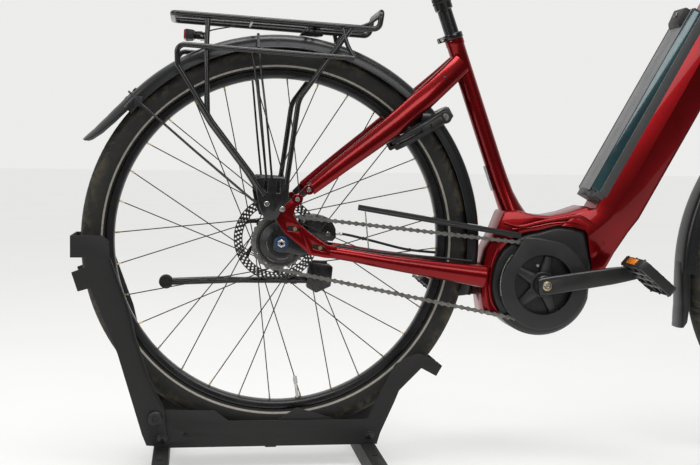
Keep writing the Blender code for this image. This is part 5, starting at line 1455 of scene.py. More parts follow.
def make_chainstays():
    yoke = [(-0.0115, 0.0409), (-0.007, 0.053), (0.006, 0.071), (0.023, 0.0875), (0.0315, 0.0885),
            (0.0352, 0.0815), (0.0322, 0.0725), (0.0222, 0.065), (0.0188, 0.052), (0.0275, 0.0386),
            (0.0456, 0.0244), (0.0636, 0.0123), (0.0818, 0.001), (0.1, -0.0015), (0.102, -0.023),
            (0.08, -0.0225), (0.0523, -0.0186), (0.0296, -0.0002), (0.0048, 0.018)]
    plate = [(-0.014, -0.012), (-0.004, -0.0165), (0.01, -0.0165), (0.04, -0.02), (0.052, -0.015),
             (0.033, 0.002), (0.008, 0.022), (-0.009, 0.04), (-0.012, 0.042), (-0.0165, 0.012)]
    for side, word in SIDES:
        slots = []
        for x, z, tilt in ((0.02, 0.0268, -2.0), (0.0672, -0.0046, -14.0)):
            hole = loft([[Vector((a, y, b)) for a, b in arc(0.0042, 90, 270, 8, (-0.0075, 0))
                          + arc(0.0042, -90, 90, 8, (0.0075, 0))] for y in (-0.02, 0.02)])
            slots.append(moved(hole,
                               Matrix.Translation((x, side * 0.0705,
                                                   z)) @ Matrix.Rotation(radians(-tilt), 4, "Y")))
        piece(f"dropout_yoke_{word}", side_slab(yoke, 0.0676, 0.0736, side), RED, cuts=slots,
              edge=0.0012, crease=30)
        hole = turned([(0, 0.06), (0.0053, 0.06), (0.0053, 0.08), (0, 0.08)], 24, ORIGIN, (0, side, 0))
        piece(f"axle_slider_{word}", side_slab(plate, 0.0684, 0.0728, side), BLACK, cuts=[hole],
              edge=0.001)
        backing = side_slab([(0.008, 0.034), (0.012, 0.019), (0.056, -0.013), (0.083, -0.012), (0.08, 0.0),
                             (0.03, 0.032)], 0.0678, 0.07, side)
        piece(f"slider_backing_{word}", backing, DARK_ARC, slot="black_metal")
        spots = [Vector((0.023, side * 0.07, 0.0266)), Vector((0.07, side * 0.07, -0.0052))]
        screws(f"slider_bolts_{word}", spots, (0, side, 0), 0.004, "frame", "bright_steel", BRASS,
               height=0.0036)
        line = smooth(flipped([(0.088, 0.0668, -0.0122), (0.13, 0.066, -0.0168), (0.2, 0.063, -0.0262),
                               (0.29, 0.0545, -0.036), (0.379, 0.047, -0.045)], side), 6)
        steps = len(line) - 1
        radii = [blend_points([0.0105, 0.0112, 0.013, 0.0165, 0.0208], n / steps) for n in range(steps + 1)]
        piece(f"chainstay_tube_{word}", tube(line, radii, 32, flatten=0.72), RED,
              f"chainstay_{word}")
    bridge_line = [(0.379, -0.037, -0.052), (0.3795, 0.037, -0.052)]
    piece("chainstay_bridge", rod(*bridge_line, 0.007, 16), RED)


def make_seatstays():
    for side, word in SIDES:
        line = smooth(flipped([(0.047, 0.0668, 0.0985), (0.1, 0.0625, 0.144), (0.1891, 0.052, 0.2186),
                               (0.245, 0.043, 0.271), (0.29, 0.029, 0.315), (0.318, 0.016, 0.344)], side), 8)
        steps = len(line) - 1
        radii = [blend_points([0.0118, 0.015, 0.0198, 0.0205, 0.02, 0.02], n / steps)
                 for n in range(steps + 1)]
        core = turned([(0, 0.2), (0.016, 0.2), (0.016, 0.52), (0, 0.52)], 32, SEAT_FOOT, SEAT_RUN)
        piece(f"seatstay_tube_{word}", tube(line, radii, 32, flatten=0.55), RED,
              f"seatstay_{word}", cuts=[core])
        insert = [(0.026, 0.09), (0.035, 0.083), (0.056, 0.101), (0.046, 0.112)]
        piece(f"stay_insert_{word}", side_slab(insert, 0.0665, 0.0722, side), DARK_ARC, edge=0.001)
        ear = drum(0.009, 0.0665, 0.0742, 28, 0.0015, centre=Vector((0.0445, 0, 0.0975)), run=(0, side, 0))
        lobe = drum(0.0098, 0.0672, 0.0744, 28, 0.0015, centre=Vector((0.0245, 0, 0.079)), run=(0, side, 0))
        piece(f"stay_lugs_{word}", together(ear, lobe), RED)
        screws(f"seatstay_plug_{word}", [Vector((0.284, side * 0.0405, 0.313))], (0, side, 0), 0.004, "frame",
               "black_metal", BLACK, height=0.0014)
        spots = [Vector((0.044, side * 0.0738, 0.0974)), Vector((0.0245, side * 0.074, 0.0794))]
        screws(f"stay_bolts_{word}", spots, (0, side, 0), 0.0042, "frame", "bright_steel")


# ---------------------------------------------------------------- steering
def make_fork():
    crown = along_steer(-0.018)
    span = 0.056
    steer = rod(along_steer(-0.002), along_steer(HEAD_LENGTH + 0.055), 0.0142, 32)
    line = rounded([crown + Vector((0, -span, -0.04)), crown + Vector((0, -span, 0)),
                    crown + Vector((0, span, 0)), crown + Vector((0, span, -0.04))], 0.028, 8)
    race = turned([(0, -0.0175), (0.02, -0.0175), (0.0235, -0.003), (0.0235, -0.0004), (0, -0.0004)], 40,
                  STEER_FOOT, HEAD_RUN)
    piece("fork_crown", together(steer, tube(line, 0.0155, 24), race), BLACK, "fork", body="steering",
          crease=40)
    legs = []
    boots = []
    for side in (-1, 1):
        top = crown + Vector((0.001, side * span, -0.018))
        end = FRONT_AXLE + Vector((0.003, side * (span + 0.001), -0.006))
        run = (end - top).normalized()
        joint_at = top + run * 0.15
        legs.append(rod(top, joint_at + run * 0.01, 0.0142, 28))
        boots += [rod(joint_at + run * (0.01 * n - 0.012), joint_at + run * (0.01 * n - 0.006), 0.0172, 28)
                  for n in range(2)]
        legs.append(tube([joint_at, joint_at + run * 0.012, end - run * 0.03, end],
                         [0.0168, 0.017, 0.0148, 0.0128], 28))
        lug = slab([(FRONT_AXLE.x - 0.013, 0.012), (FRONT_AXLE.x + 0.012, 0.016),
                    (FRONT_AXLE.x + 0.013, -0.012), (FRONT_AXLE.x + 0.002, -0.017),
                    (FRONT_AXLE.x - 0.012, -0.01)], *sorted((side * 0.0503, side * 0.059)))
        legs.append(lug)
    piece("fork_legs", together(*legs), BLACK, body="steering")
    piece("fork_boots", together(*boots), GRIP, body="steering")
    nuts = []
    for side in (-1, 1):
        nuts.append(turned([(0, 0.049), (0.0048, 0.049), (0.0048, 0.0594), (0.0085, 0.0594), (0.0085, 0.0655),
                            (0.007, 0.0672), (0, 0.0672)], 6, FRONT_AXLE, (0, side, 0)))
    piece("front_axle_nuts", together(*nuts), BOLT_STEEL, body="steering", edge=0.0004, crease=30)
    centre = FRONT_AXLE + Vector((-0.062, 0.0, 0.036))
    body = [(centre.x - 0.02, centre.z - 0.006), (centre.x + 0.01, centre.z - 0.024),
            (centre.x + 0.034, centre.z - 0.01), (centre.x + 0.04, centre.z + 0.012),
            (centre.x + 0.02, centre.z + 0.03), (centre.x - 0.012, centre.z + 0.022)]
    gap = turned([(0, 0.0322), (ROTOR_RADIUS + 0.003, 0.0322), (ROTOR_RADIUS + 0.003, 0.0368), (0, 0.0368)],
                 48, FRONT_AXLE)
    piece("front_caliper", slab(body, 0.0265, 0.0525), BLACK, body="steering", cuts=[gap], edge=0.0022)
    spots = [Vector((centre.x + 0.004, 0.0525, centre.z)),
             Vector((centre.x + 0.022, 0.0525, centre.z + 0.014))]
    screws("front_caliper_bolts", spots, (0, 1, 0), 0.0048, "steering", "bright_steel")
    hose = smooth([(centre.x + 0.006, 0.046, centre.z + 0.026), (centre.x + 0.03, 0.054, centre.z + 0.08),
                   (FRONT_AXLE.x - 0.092, 0.066, 0.24), (FRONT_AXLE.x - 0.15, 0.06, 0.4), along_steer(0.06)
                   + Vector((0.04, 0.034, 0.0)), along_steer(0.2) + Vector((0.052, 0.03, 0.0))], 8)
    piece("front_brake_hose", tube(hose, 0.0025, 14), CABLE, body="steering")


def channel(axle, first, last, steps, body, name, node):
    """A mudguard: a curved skin with a rolled rim along each side."""
    crown = GUARD_RADIUS
    half = GUARD_HALF
    outer = []
    for n in range(17):
        share = -1 + 2 * n / 16
        outer.append((crown - 0.0235 * abs(share) ** 3.2 - 0.0006 * abs(share),
                      half * sin(share * pi / 2) if abs(share) < 1 else half * share))
    thin = 0.0016
    inner = [(r - thin * (1.0 if abs(y) < half * 0.97 else 0.0), y * (1 - thin / half))
             for r, y in reversed(outer)]
    rings = []
    for n in range(steps + 1):
        turn = radians(first + (last - first) * n / steps)
        rings.append([axle + on_circle(r, turn, y) for r, y in outer + inner])
    made = piece(name, loft(rings), MUDGUARD, node, body=body)
    beads = []
    for side in (-1, 1):
        edge = crown - 0.0242
        turns = [radians(first + (last - first) * n / steps) for n in range(steps + 1)]
        line = [axle + on_circle(edge, turn, side * (half - 0.001)) for turn in turns]
        beads.append(tube(line, 0.0014, 10))
    piece(f"{name}_rims", together(*beads), MUDGUARD, body=body)
    return made


def mudflap(axle, stations, body, name):
    """A soft flap that leaves the guard's crown and spreads outwards."""
    rings = []
    for number, (angle, radius, half) in enumerate(stations):
        turn = radians(angle)
        along = number / (len(stations) - 1)
        skirt = 0.0145 * (1 - along ** 2.5) + 0.005 * along ** 2.5
        top = []
        for n in range(13):
            share = -1 + 2 * n / 12
            top.append((radius + 0.001 - skirt * abs(share) ** 3.2, half * share))
        low = [(r - 0.0026, y * 0.985) for r, y in reversed(top)]
        rings.append([axle + on_circle(r, turn, y) for r, y in top + low])
    piece(name, loft(rings), MUDGUARD, body=body, edge=0.0006, crease=40)


def between(stations, steps):
    """Stations filled in evenly between those given."""
    filled = []
    for n in range(len(stations) - 1):
        for i in range(steps):
            filled.append(tuple(a + (b - a) * i / steps for a, b in zip(stations[n], stations[n + 1])))
    return filled + [stations[-1]]


def make_mudguards():
    channel(ORIGIN, -13, 142, 110, "frame", "rear_mudguard_skin", "rear_mudguard")
    flap = between([(137.0, 0.3746, 0.027), (142, 0.3754, 0.03), (147, 0.379, 0.0335), (151.5, 0.385, 0.0352),
                    (154.4, 0.3915, 0.0338), (155.4, 0.3935, 0.03)], 4)
    mudflap(ORIGIN, flap, "frame", "rear_mudflap")
    channel(FRONT_AXLE, 62, 184, 90, "steering", "front_mudguard_skin", "front_mudguard")
    flap = between([(180.5, 0.3746, 0.027), (187, 0.3758, 0.0305), (193, 0.38, 0.0325), (198, 0.3885, 0.031),
                    (199.4, 0.3915, 0.0262)], 4)
    mudflap(FRONT_AXLE, flap, "steering", "front_mudflap")
    stays = []
    for side in (-1, 1):
        for angle in (122, 172):
            route = [(0.001, side * 0.0605, 0.012), (-0.012, side * 0.06, 0.02),
                     on_circle(0.349, radians(angle), side * 0.0335)]
            stays.append(tube([FRONT_AXLE + Vector(p) for p in route], 0.0021, 12))
    piece("front_mudguard_stays", together(*stays), BLACK, body="steering")
    joints = [on_circle(RIVET_RADIUS, radians(a)) for a in (136.5, 139.8)]
    rivets = [drum(0.0042, -0.001, 0.0014, 16, centre=p + Vector((0, y, 0)), run=(p.x, 0, p.z))
              for p in joints for y in (-0.009, 0.009)]
    piece("mudflap_rivets", together(*rivets), BLACK)


def make_stem_and_bar():
    top = HEAD_LENGTH + 0.055
    low = HEAD_LENGTH + 0.0003
    collar = [(0.0146, low), (0.0226, low), (0.0226, low + 0.006), (0.0212, low + 0.008),
              (0.0205, low + 0.014), (0.02, low + 0.017), (0.018, top - 0.026), (0.0178, top),
              (0.0165, top + 0.0035), (0, top + 0.004), (0, top + 0.001), (0.0146, top + 0.0003)]
    clamp = along_steer(top - 0.016) + Vector((0.08, 0, 0.042))
    root = along_steer(top - 0.016) + Vector((0.014, 0, 0.002))
    arm = tube([root, root.lerp(clamp, 0.5), clamp], [0.014, 0.0128, 0.014], 32)
    hold = turned([(0.0162, -0.024), (0.019, -0.024), (0.0196, -0.0225), (0.0196, 0.0225), (0.019, 0.024),
                   (0.0162, 0.024)], 40, clamp)
    arm_room = turned([(0, -0.05), (0.0161, -0.05), (0.0161, 0.05), (0, 0.05)], 32, clamp)
    steer_room = turned([(0, -0.01 + HEAD_LENGTH), (0.0144, HEAD_LENGTH - 0.01), (0.0144, top), (0, top)],
                        32, STEER_FOOT, HEAD_RUN)
    piece("stem_collar", turned(collar, 48, STEER_FOOT, HEAD_RUN), BLACK, "stem", body="steering", crease=30)
    piece("stem_arm", together(arm), BLACK, body="steering", cuts=[arm_room, steer_room])
    piece("stem_clamp", hold, BLACK, body="steering")
    spots = [clamp + Vector((0.0185, y, z)) for y in (-0.016, 0.016) for z in (-0.01, 0.01)]
    screws("stem_clamp_bolts", spots, (1, 0, 0), 0.0036, "steering", "bright_steel")
    ends = []
    for side in (-1, 1):
        ends.append([clamp + Vector((x, side * y, z)) for x, y, z in (
            (-0.115, 0.31, 0.036), (-0.02, 0.175, 0.044), (0.0, 0.075, 0.004), (0.0, 0.045, 0.0))])
    path = rounded(ends[0] + list(reversed(ends[1])), 0.03, 8)
    centre_bulge = turned([(0, -0.03), (0.0125, -0.03), (0.0157, -0.026), (0.0157, 0.026), (0.0125, 0.03),
                           (0, 0.03)], 32, clamp)
    piece("handlebar_tube", together(tube(path, 0.0111, 24), centre_bulge), BLACK, "handlebar",
          body="steering")
    for side, end in ((-1, ends[0]), (1, ends[1])):
        word = "right" if side < 0 else "left"
        run = (end[0] - end[1]).normalized()
        start = end[0] - run * 0.125
        grip = [(0.0112, 0.0), (0.016, 0.0), (0.016, 0.006), (0.0142, 0.009), (0.015, 0.05), (0.0158, 0.085),
                (0.015, 0.112), (0.016, 0.119), (0.0164, 0.1275), (0.012, 0.129), (0, 0.129)]
        piece(f"grip_{word}", turned(grip, 40, start, run), GRIP, body="steering", crease=30)
        ahead = Vector((0.8, 0, -0.6))
        ahead = (ahead - run * ahead.dot(run)).normalized()
        root = end[0] - run * 0.147
        pivot = root + ahead * 0.03
        strap = turned([(0.0112, -0.007), (0.015, -0.007), (0.0156, -0.0055), (0.0156, 0.0055),
                        (0.015, 0.007), (0.0112, 0.007)], 32, root, run)
        perch = rod(root + ahead * 0.013 + run * 0.002, pivot - ahead * 0.0065 + run * 0.002, 0.0068, 20)
        reservoir = rod(root + ahead * 0.02 - run * 0.04, root + ahead * 0.019 + run * 0.004, 0.0085, 24)
        piece(f"brake_perch_{word}", together(strap, perch, reservoir), BLACK, body="steering", edge=0.001)
        blade = smooth([pivot - run * 0.006, pivot + run * 0.022 + ahead * 0.012, pivot + run * 0.06
                        + ahead * 0.024, pivot + run * 0.104 + ahead * 0.0205], 6)
        steps = len(blade) - 1
        radii = [blend_points([0.006, 0.0056, 0.005, 0.005, 0.0055], n / steps) for n in range(steps + 1)]
        pin = drum(0.004, -0.0075, 0.0075, 20, centre=pivot, run=run.cross(ahead))
        piece(f"brake_blade_{word}", together(tube(blade, radii, 20, flatten=0.75), pin), CRANK,
              f"brake_lever_{word}", body=f"brake_lever_{word}", slot="black_metal")
        reach_back = along_steer(0.15) + Vector((0.045, side * 0.016, 0.01))
        line = smooth([root + ahead * 0.02 - run * 0.04, root + ahead * 0.028 - run * 0.085,
                       clamp + Vector((0.04, side * 0.07, 0.0)),
                       clamp + Vector((0.028, side * 0.026, -0.06)), reach_back], 8)
        piece(f"bar_hose_{word}", tube(line, 0.0025, 14), CABLE, body="steering")
    facing_rider = (Matrix.Translation(clamp + Vector((-0.014, 0, 0.0195)))
                    @ Matrix.Rotation(radians(24), 4, "Y"))
    shell = block((-0.012, -0.03, 0.0), (0.03, 0.03, 0.011))
    moved(shell, facing_rider)
    piece("display_case", shell, PLASTIC, body="steering", edge=0.003)
    glass = block((-0.009, -0.026, 0.0106), (0.027, 0.026, 0.0116))
    moved(glass, facing_rider)
    piece("display_glass", glass, MOTOR_PLASTIC, body="steering", edge=0.0004)
    lamp = along_steer(0.112) + Vector((0.056, 0, 0.0))
    shell = turned([(0, -0.04), (0.02, -0.038), (0.027, -0.022), (0.029, 0.0), (0.027, 0.0015),
                    (0.026, -0.004), (0, -0.004)], 40, lamp, (1, 0, -0.08))
    piece("headlamp_case", shell, PLASTIC, body="steering")
    lens = turned([(0, -0.005), (0.0258, -0.005), (0.0258, -0.0005), (0.018, 0.0012), (0, 0.0018)], 40, lamp,
                  (1, 0, -0.08))
    piece("headlamp_lens", lens, CLEAR, body="steering", slot="bright_steel")
    arm = tube(smooth([along_steer(-0.012) + Vector((0.02, 0, 0)), along_steer(0.02) + Vector((0.045, 0, 0)),
                       lamp + Vector((-0.012, 0, -0.026))], 6), 0.004, 14)
    piece("headlamp_bracket", arm, BLACK, body="steering")


# ---------------------------------------------------------------- carrier and fittings
def rack_loop(half, front, rear, lift, radius=0.012, hook=0.03):
    z = RACK_HEIGHT + lift
    loop = [(front, -half, z - 0.002), (rear, -half, z + 0.001), (rear, half, z + 0.001),
            (front, half, z - 0.002), (front + 0.004, half, z + hook), (front + 0.004, -half, z + hook)]
    return rounded(loop, radius, 8, True)


def make_rack():
    front = 0.155
    rear = -0.21
    shapes = [tube(rack_loop(0.06, front, rear, 0.0), 0.005, 18, True)]
    for x in (-0.15, -0.07, 0.045):
        shapes.append(rod((x, -0.06, RACK_HEIGHT), (x, 0.06, RACK_HEIGHT), 0.0032, 14))
    for y in (-0.022, 0.022):
        shapes.append(tube(smooth([(rear + 0.002, y, RACK_HEIGHT + 0.001), (0.0, y, RACK_HEIGHT + 0.0005),
                                   (0.12, y, RACK_HEIGHT - 0.001), (front - 0.006, y, RACK_HEIGHT + 0.006)],
                                  6), 0.0028, 12))
    piece("rack_top_frame", together(*shapes), BLACK, "rack_top")
    brace = smooth([(0.118, -0.06, RACK_HEIGHT - 0.0015), (0.138, -0.06, RACK_HEIGHT + 0.008),
                    (0.156, -0.06, RACK_HEIGHT + 0.022)], 5)
    both = together(tube(brace, 0.003, 12), tube([Vector((p.x, -p.y, p.z)) for p in brace], 0.003, 12))
    piece("rack_hook_braces", both, BLACK)
    reach_up = RACK_HEIGHT - 0.005
    for side, word in SIDES:
        hoop = rounded(flipped([(0.112, 0.07, 0.335), (-0.06, 0.072, 0.3364), (-0.2, 0.075, 0.338),
                                (-0.197, 0.075, 0.302), (-0.1332, 0.075, 0.2077), (-0.0605, 0.076, 0.1206),
                                (-0.034, 0.077, 0.083)], side), 0.013, 7)
        strut = rounded(flipped([(0.104, 0.062, reach_up), (0.0169, 0.074, 0.2554), (0.003, 0.077, 0.104)],
                                side), 0.05, 7)
        post = smooth(flipped([(-0.148, 0.06, reach_up), (-0.148, 0.066, 0.33), (-0.141, 0.075, 0.22)],
                              side), 6)
        tie = smooth(flipped([(0.112, 0.07, 0.335), (0.098, 0.0665, 0.36), (0.09, 0.0625, reach_up)], side),
                     5)
        shapes = [tube(hoop, 0.0048, 18), tube(strut, 0.0048, 18), tube(post, 0.0043, 16),
                  tube(tie, 0.004, 14)]
        piece(f"rack_struts_{word}", together(*shapes), BLACK, f"rack_side_{word}")
        plate = [(-0.05, 0.11), (-0.044, 0.118), (0.005, 0.118), (0.0085, 0.11), (0.008, 0.08),
                 (0.004, 0.072), (-0.01, 0.044), (-0.02, 0.04), (-0.033, 0.042), (-0.042, 0.061),
                 (-0.048, 0.085)]
        slots = []
        for x in (-0.033, -0.011):
            slot = [(x - 0.0036, 0.089), (x + 0.0036, 0.089), (x + 0.0036, 0.1105), (x - 0.0036, 0.1105)]
            slots.append(side_slab(slot, 0.07, 0.084, side))
        piece(f"rack_foot_plate_{word}", side_slab(plate, 0.0748, 0.0792, side), BLACK,
              cuts=slots, edge=0.0012)
        spots = [Vector((-0.03, side * 0.0792, 0.069)), Vector((-0.002, side * 0.0792, 0.061))]
        screws(f"rack_foot_bolts_{word}", spots, (0, side, 0), 0.0048, "frame", "bright_steel")
        rods = [tube(smooth(flipped([(-0.07, 0.035, 0.345), (-0.059, 0.06, 0.2872), (-0.046, 0.074, 0.2),
                                     (-0.0321, 0.079, 0.1087)], side), 5), 0.002, 12),
                tube(smooth(flipped([(-0.056, 0.035, 0.35), (-0.052, 0.056, 0.31), (-0.038, 0.0745, 0.22),
                                     (-0.0225, 0.0795, 0.1092)], side), 5), 0.002, 12)]
        piece(f"rack_inner_rods_{word}", together(*rods), BLACK)
    plate = [(0.018, 0.3755), (0.029, 0.39), (0.054, 0.3915), (0.0609, 0.3765), (0.05, 0.3745)]
    piece("rack_guard_bracket", slab(plate, -0.012, 0.012), BLACK, edge=0.001)
    bar = together(rod((0.03, -0.0595, 0.382), (0.03, 0.0595, 0.382), 0.003, 14),
                   rod((-0.058, -0.0715, 0.34), (-0.058, -0.03, 0.369), 0.0028, 14),
                   rod((-0.058, 0.0715, 0.34), (-0.058, 0.03, 0.369), 0.0028, 14))
    piece("rack_cross_bars", bar, BLACK)


def make_mudguard_stay():
    crown = GUARD_RADIUS + 0.003
    up = on_circle(1.0, radians(138))
    half = GUARD_HALF + 0.006
    right = [(-0.048, -0.0715, 0.069), (-0.16, -0.058, 0.155)]
    right += [tuple(up * (crown - 0.03) + Vector((0, -half, 0))), tuple(up * crown + Vector((0, -half, 0)))]
    path = rounded([Vector(p) for p in right] + [Vector((x, -y, z)) for x, y, z in reversed(right)], 0.006, 5)
    piece("mudguard_stay_wire", tube(path, 0.0021, 14), BLACK, "mudguard_stay")
    clips = []
    for side in (-1, 1):
        spot = up * (crown - 0.024) + Vector((0, side * (half - 0.001), 0))
        clips.append(moved(block((-0.007, -0.003, -0.009), (0.007, 0.003, 0.009)), Matrix.Translation(spot)))
    piece("mudguard_stay_clips", together(*clips), PLASTIC, edge=0.001)


def make_tail_lamp():
    low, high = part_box("tail_lamp")
    middle = TO_LEVEL @ ((low + high) / 2)
    x = middle.x
    z = middle.z
    rear = x - 0.0088
    case = [(rear + 0.0035, z - 0.0092), (rear + 0.003, z + 0.0092), (rear + 0.0175, z + 0.008),
            (rear + 0.0175, z - 0.008)]
    piece("tail_lamp_case", slab(case, -0.0235, 0.0235), PLASTIC, "tail_lamp", slot="lamp_red", edge=0.0018)
    lens = [(rear, z - 0.008), (rear, z + 0.008), (rear + 0.008, z + 0.0088), (rear + 0.008, z - 0.0088)]
    piece("tail_lamp_lens", slab(lens, -0.022, 0.022), TAIL_RED, slot="lamp_red", edge=0.0012)
    arm = side_slab([(-0.1735, 0.3555), (-0.1735, 0.369), (-0.158, 0.37), (-0.1525, 0.366), (-0.1525, 0.356)],
                    -0.003, 0.003, 1)
    plate = block((-0.174, -0.016, 0.3545), (-0.17, 0.016, 0.3695))
    strap = block((-0.16, -0.062, 0.359), (-0.153, 0.062, 0.3625))
    piece("tail_lamp_bracket", together(arm, plate, strap), BLACK, edge=0.0006)
    wire = smooth([(rear + 0.017, 0.004, z - 0.002), (-0.16, 0.01, z - 0.004), (-0.145, 0.012, 0.373),
                   (-0.1, 0.014, 0.385)], 6)
    piece("tail_lamp_wire", tube(wire, 0.0013, 10), CABLE)


def make_ring_lock():
    turn = LOCK_UP.to_track_quat("Z", "X").to_matrix()
    run = LOCK_UP.cross(Vector((0, 1, 0)))
    back = turn.transposed() @ Vector((-abs(run.x), 0, -abs(run.z)))
    start = degrees(atan2(back.y, back.x)) + 30.0
    whole = 300.0
    profile = [(0.048, -0.0088), (0.05, -0.0108), (0.0672, -0.0108), (0.0698, -0.0086), (0.0698, 0.0086),
               (0.0672, 0.0108), (0.05, 0.0108), (0.048, 0.0088)]
    body = turned(profile, 80, LOCK_CENTRE, LOCK_UP, start, whole)
    room = 0.0046
    inner = 0.059
    tunnel = washer(inner - room, inner + room, -room, room, 60, centre=LOCK_CENTRE, run=LOCK_UP, start=start
                    - 5, sweep=whole + 10)
    slot = washer(inner, 0.075, -0.0026, 0.0026, 40, centre=LOCK_CENTRE, run=LOCK_UP, start=start - 3,
                  sweep=92)
    piece("ring_lock_body", body, PLASTIC, "ring_lock", cuts=[tunnel, slot], edge=0.0008, crease=30)
    cover = washer(0.05, 0.0672, 0.0104, 0.0122, 40, centre=LOCK_CENTRE, run=LOCK_UP, start=start + 110,
                   sweep=84)
    piece("ring_lock_cover", cover, MOTOR_PLASTIC, edge=0.0006)
    spots = []
    for angle in (start + 20, start + 118, start + 182, start + 280):
        a = radians(angle)
        spots.append(LOCK_CENTRE + turn @ Vector((0.0588 * cos(a), 0.0588 * sin(a), 0.0106)))
    screws("ring_lock_screws", spots, LOCK_UP, 0.0042, "frame", "bright_steel", height=0.0022)
    path = []
    for n in range(41):
        a = radians(start + 4 + 84 * n / 40)
        path.append(LOCK_CENTRE + turn @ Vector((cos(a), sin(a), 0)) * inner)
    tab = washer(inner, 0.0778, -0.0019, 0.0019, 8, centre=LOCK_CENTRE, run=LOCK_UP, start=start + 70,
                 sweep=14)
    piece("lock_bolt", together(tube(path, 0.0035, 20), tab), CHAIN_STEEL, "lock_shackle",
          body="lock_shackle", edge=0.0004)
    knob = washer(0.0735, 0.0782, -0.0046, 0.0046, 8, centre=LOCK_CENTRE, run=LOCK_UP, start=start + 69,
                  sweep=16)
    piece("lock_thumb_piece", knob, PLASTIC, body="lock_shackle", slot="bright_steel", edge=0.001)
    ahead = LOCK_UP.cross(Vector((0, 1, 0)))
    ahead = ahead if ahead.x > 0 else -ahead
    flank = Matrix.Translation(LOCK_CENTRE) @ Matrix(((ahead.x, 0, LOCK_UP.x, 0), (0, 1, 0, 0),
                                                      (ahead.z, 0, LOCK_UP.z, 0), (0, 0, 0, 1)))
    plate = moved(block((-0.05, -0.045, 0.0112), (0.052, -0.018, 0.0128)), flank)
    piece("ring_lock_plate", plate, BLACK, edge=0.0007)
    window = moved(block((-0.006, -0.0712, -0.0078), (0.036, -0.06, 0.006)), flank)
    piece("ring_lock_window", window, MOTOR_PLASTIC, edge=0.0012)
    lobe = LOCK_CENTRE + ahead * 0.046 + Vector((0, -0.044, 0)) + LOCK_UP * -0.001
    piece("ring_lock_barrel", drum(0.0118, 0.0, 0.014, 36, 0.0018, centre=lobe + Vector((0, 0.004, 0)),
                                   run=(0, -1, 0)), PLASTIC)
    piece("ring_lock_key_disc", drum(0.0062, 0.0, 0.0008, 28, 0.0003, centre=lobe + Vector((0, -0.01, 0)),
                                     run=(0, -1, 0)), CHAIN_STEEL)
    slit = moved(block((-0.0007, 0.0, -0.0034), (0.0007, 0.0006, 0.0034)),
                 Matrix.Translation(lobe + Vector((0, -0.0114, 0))))
    piece("ring_lock_key_slit", slit, GASKET, slot="black_plastic")
    mounts = []
    for side in (-1, 1):
        mounts.append(block((LOCK_CENTRE.x - 0.004, side * 0.044 - 0.006, LOCK_CENTRE.z + 0.012),
                            (LOCK_CENTRE.x + 0.016, side * 0.044 + 0.006, LOCK_CENTRE.z + 0.03)))
    piece("ring_lock_mounts", together(*mounts), BLACK, edge=0.002)


def make_rear_caliper():
    outline = [(0.0385, 0.0455), (0.0589, 0.049), (0.0697, 0.05), (0.087, 0.047), (0.1, 0.042), (0.11, 0.024),
               (0.1116, 0.008), (0.1056, 0.0005), (0.0869, 0.001), (0.0583, 0.005), (0.041, 0.008)]
    gap = turned([(0, ROTOR_PLACE - 0.0016), (ROTOR_RADIUS + 0.002, ROTOR_PLACE - 0.0016),
                  (ROTOR_RADIUS + 0.002, ROTOR_PLACE + 0.0016), (0, ROTOR_PLACE + 0.0016)], 64)
    piece("rear_caliper_body", slab(outline, 0.0412, 0.0663), BLACK, "rear_brake_caliper",
          cuts=[gap], edge=0.0022, crease=25)
    pot = drum(0.013, 0.0385, 0.0418, 36, 0.0012, centre=Vector((0.07, 0, 0.027)))
    ring = washer(0.0082, 0.0095, 0.0376, 0.0388, 36, centre=Vector((0.07, 0, 0.027)))
    piece("rear_caliper_piston_cover", together(pot, ring), CRANK, slot="black_metal")
    spots = [Vector((0.048, 0.0412, 0.036)), Vector((0.096, 0.0412, 0.014))]
    screws("rear_caliper_bolts", spots, (0, -1, 0), 0.0042, "frame", "bright_steel")
    banjo = together(rod((0.106, 0.06, 0.013), (0.115, 0.06, 0.0152), 0.0046, 20),
                     rod((0.114, 0.06, 0.015), (0.125, 0.0605, 0.0136), 0.0034, 20))
    piece("rear_hose_ferrule", banjo, BOLT_STEEL)


def make_cables():
    brake = smooth([(0.113, 0.06, 0.015), (0.14, 0.061, 0.012), (0.187, 0.06, 0.003), (0.25, 0.054, -0.009),
                    (0.31, 0.047, -0.012), (0.355, 0.044, -0.014)], 10)
    piece("rear_brake_hose_jacket", tube(brake, 0.0025, 16), CABLE, "rear_brake_hose")
    shift = smooth([(0.036, -0.057, -0.017), (0.06, -0.056, -0.008), (0.1, -0.054, -0.002),
                    (0.16, -0.053, -0.008), (0.23, -0.051, -0.012), (0.3, -0.046, -0.015),
                    (0.355, -0.044, -0.018)], 10)
    piece("shift_cable_jacket", tube(shift, 0.0023, 16), CABLE, "shift_cable")
    ties = []
    for path, share, radius in ((brake, 0.32, 0.0036), (brake, 0.62, 0.0036), (shift, 0.55, 0.0034),
                                (shift, 0.8, 0.0034)):
        n = int(share * (len(path) - 1))
        run = (path[n + 1] - path[n]).normalized()
        ties.append(drum(radius, -0.0016, 0.0016, 20, 0.0004, centre=path[n], run=run))
    piece("cable_ties", together(*ties), PLASTIC)
    stop = together(rod((0.025, -0.0585, -0.0235), (0.04, -0.0568, -0.0148), 0.0042, 20))
    piece("shift_cable_stop", stop, PLASTIC)


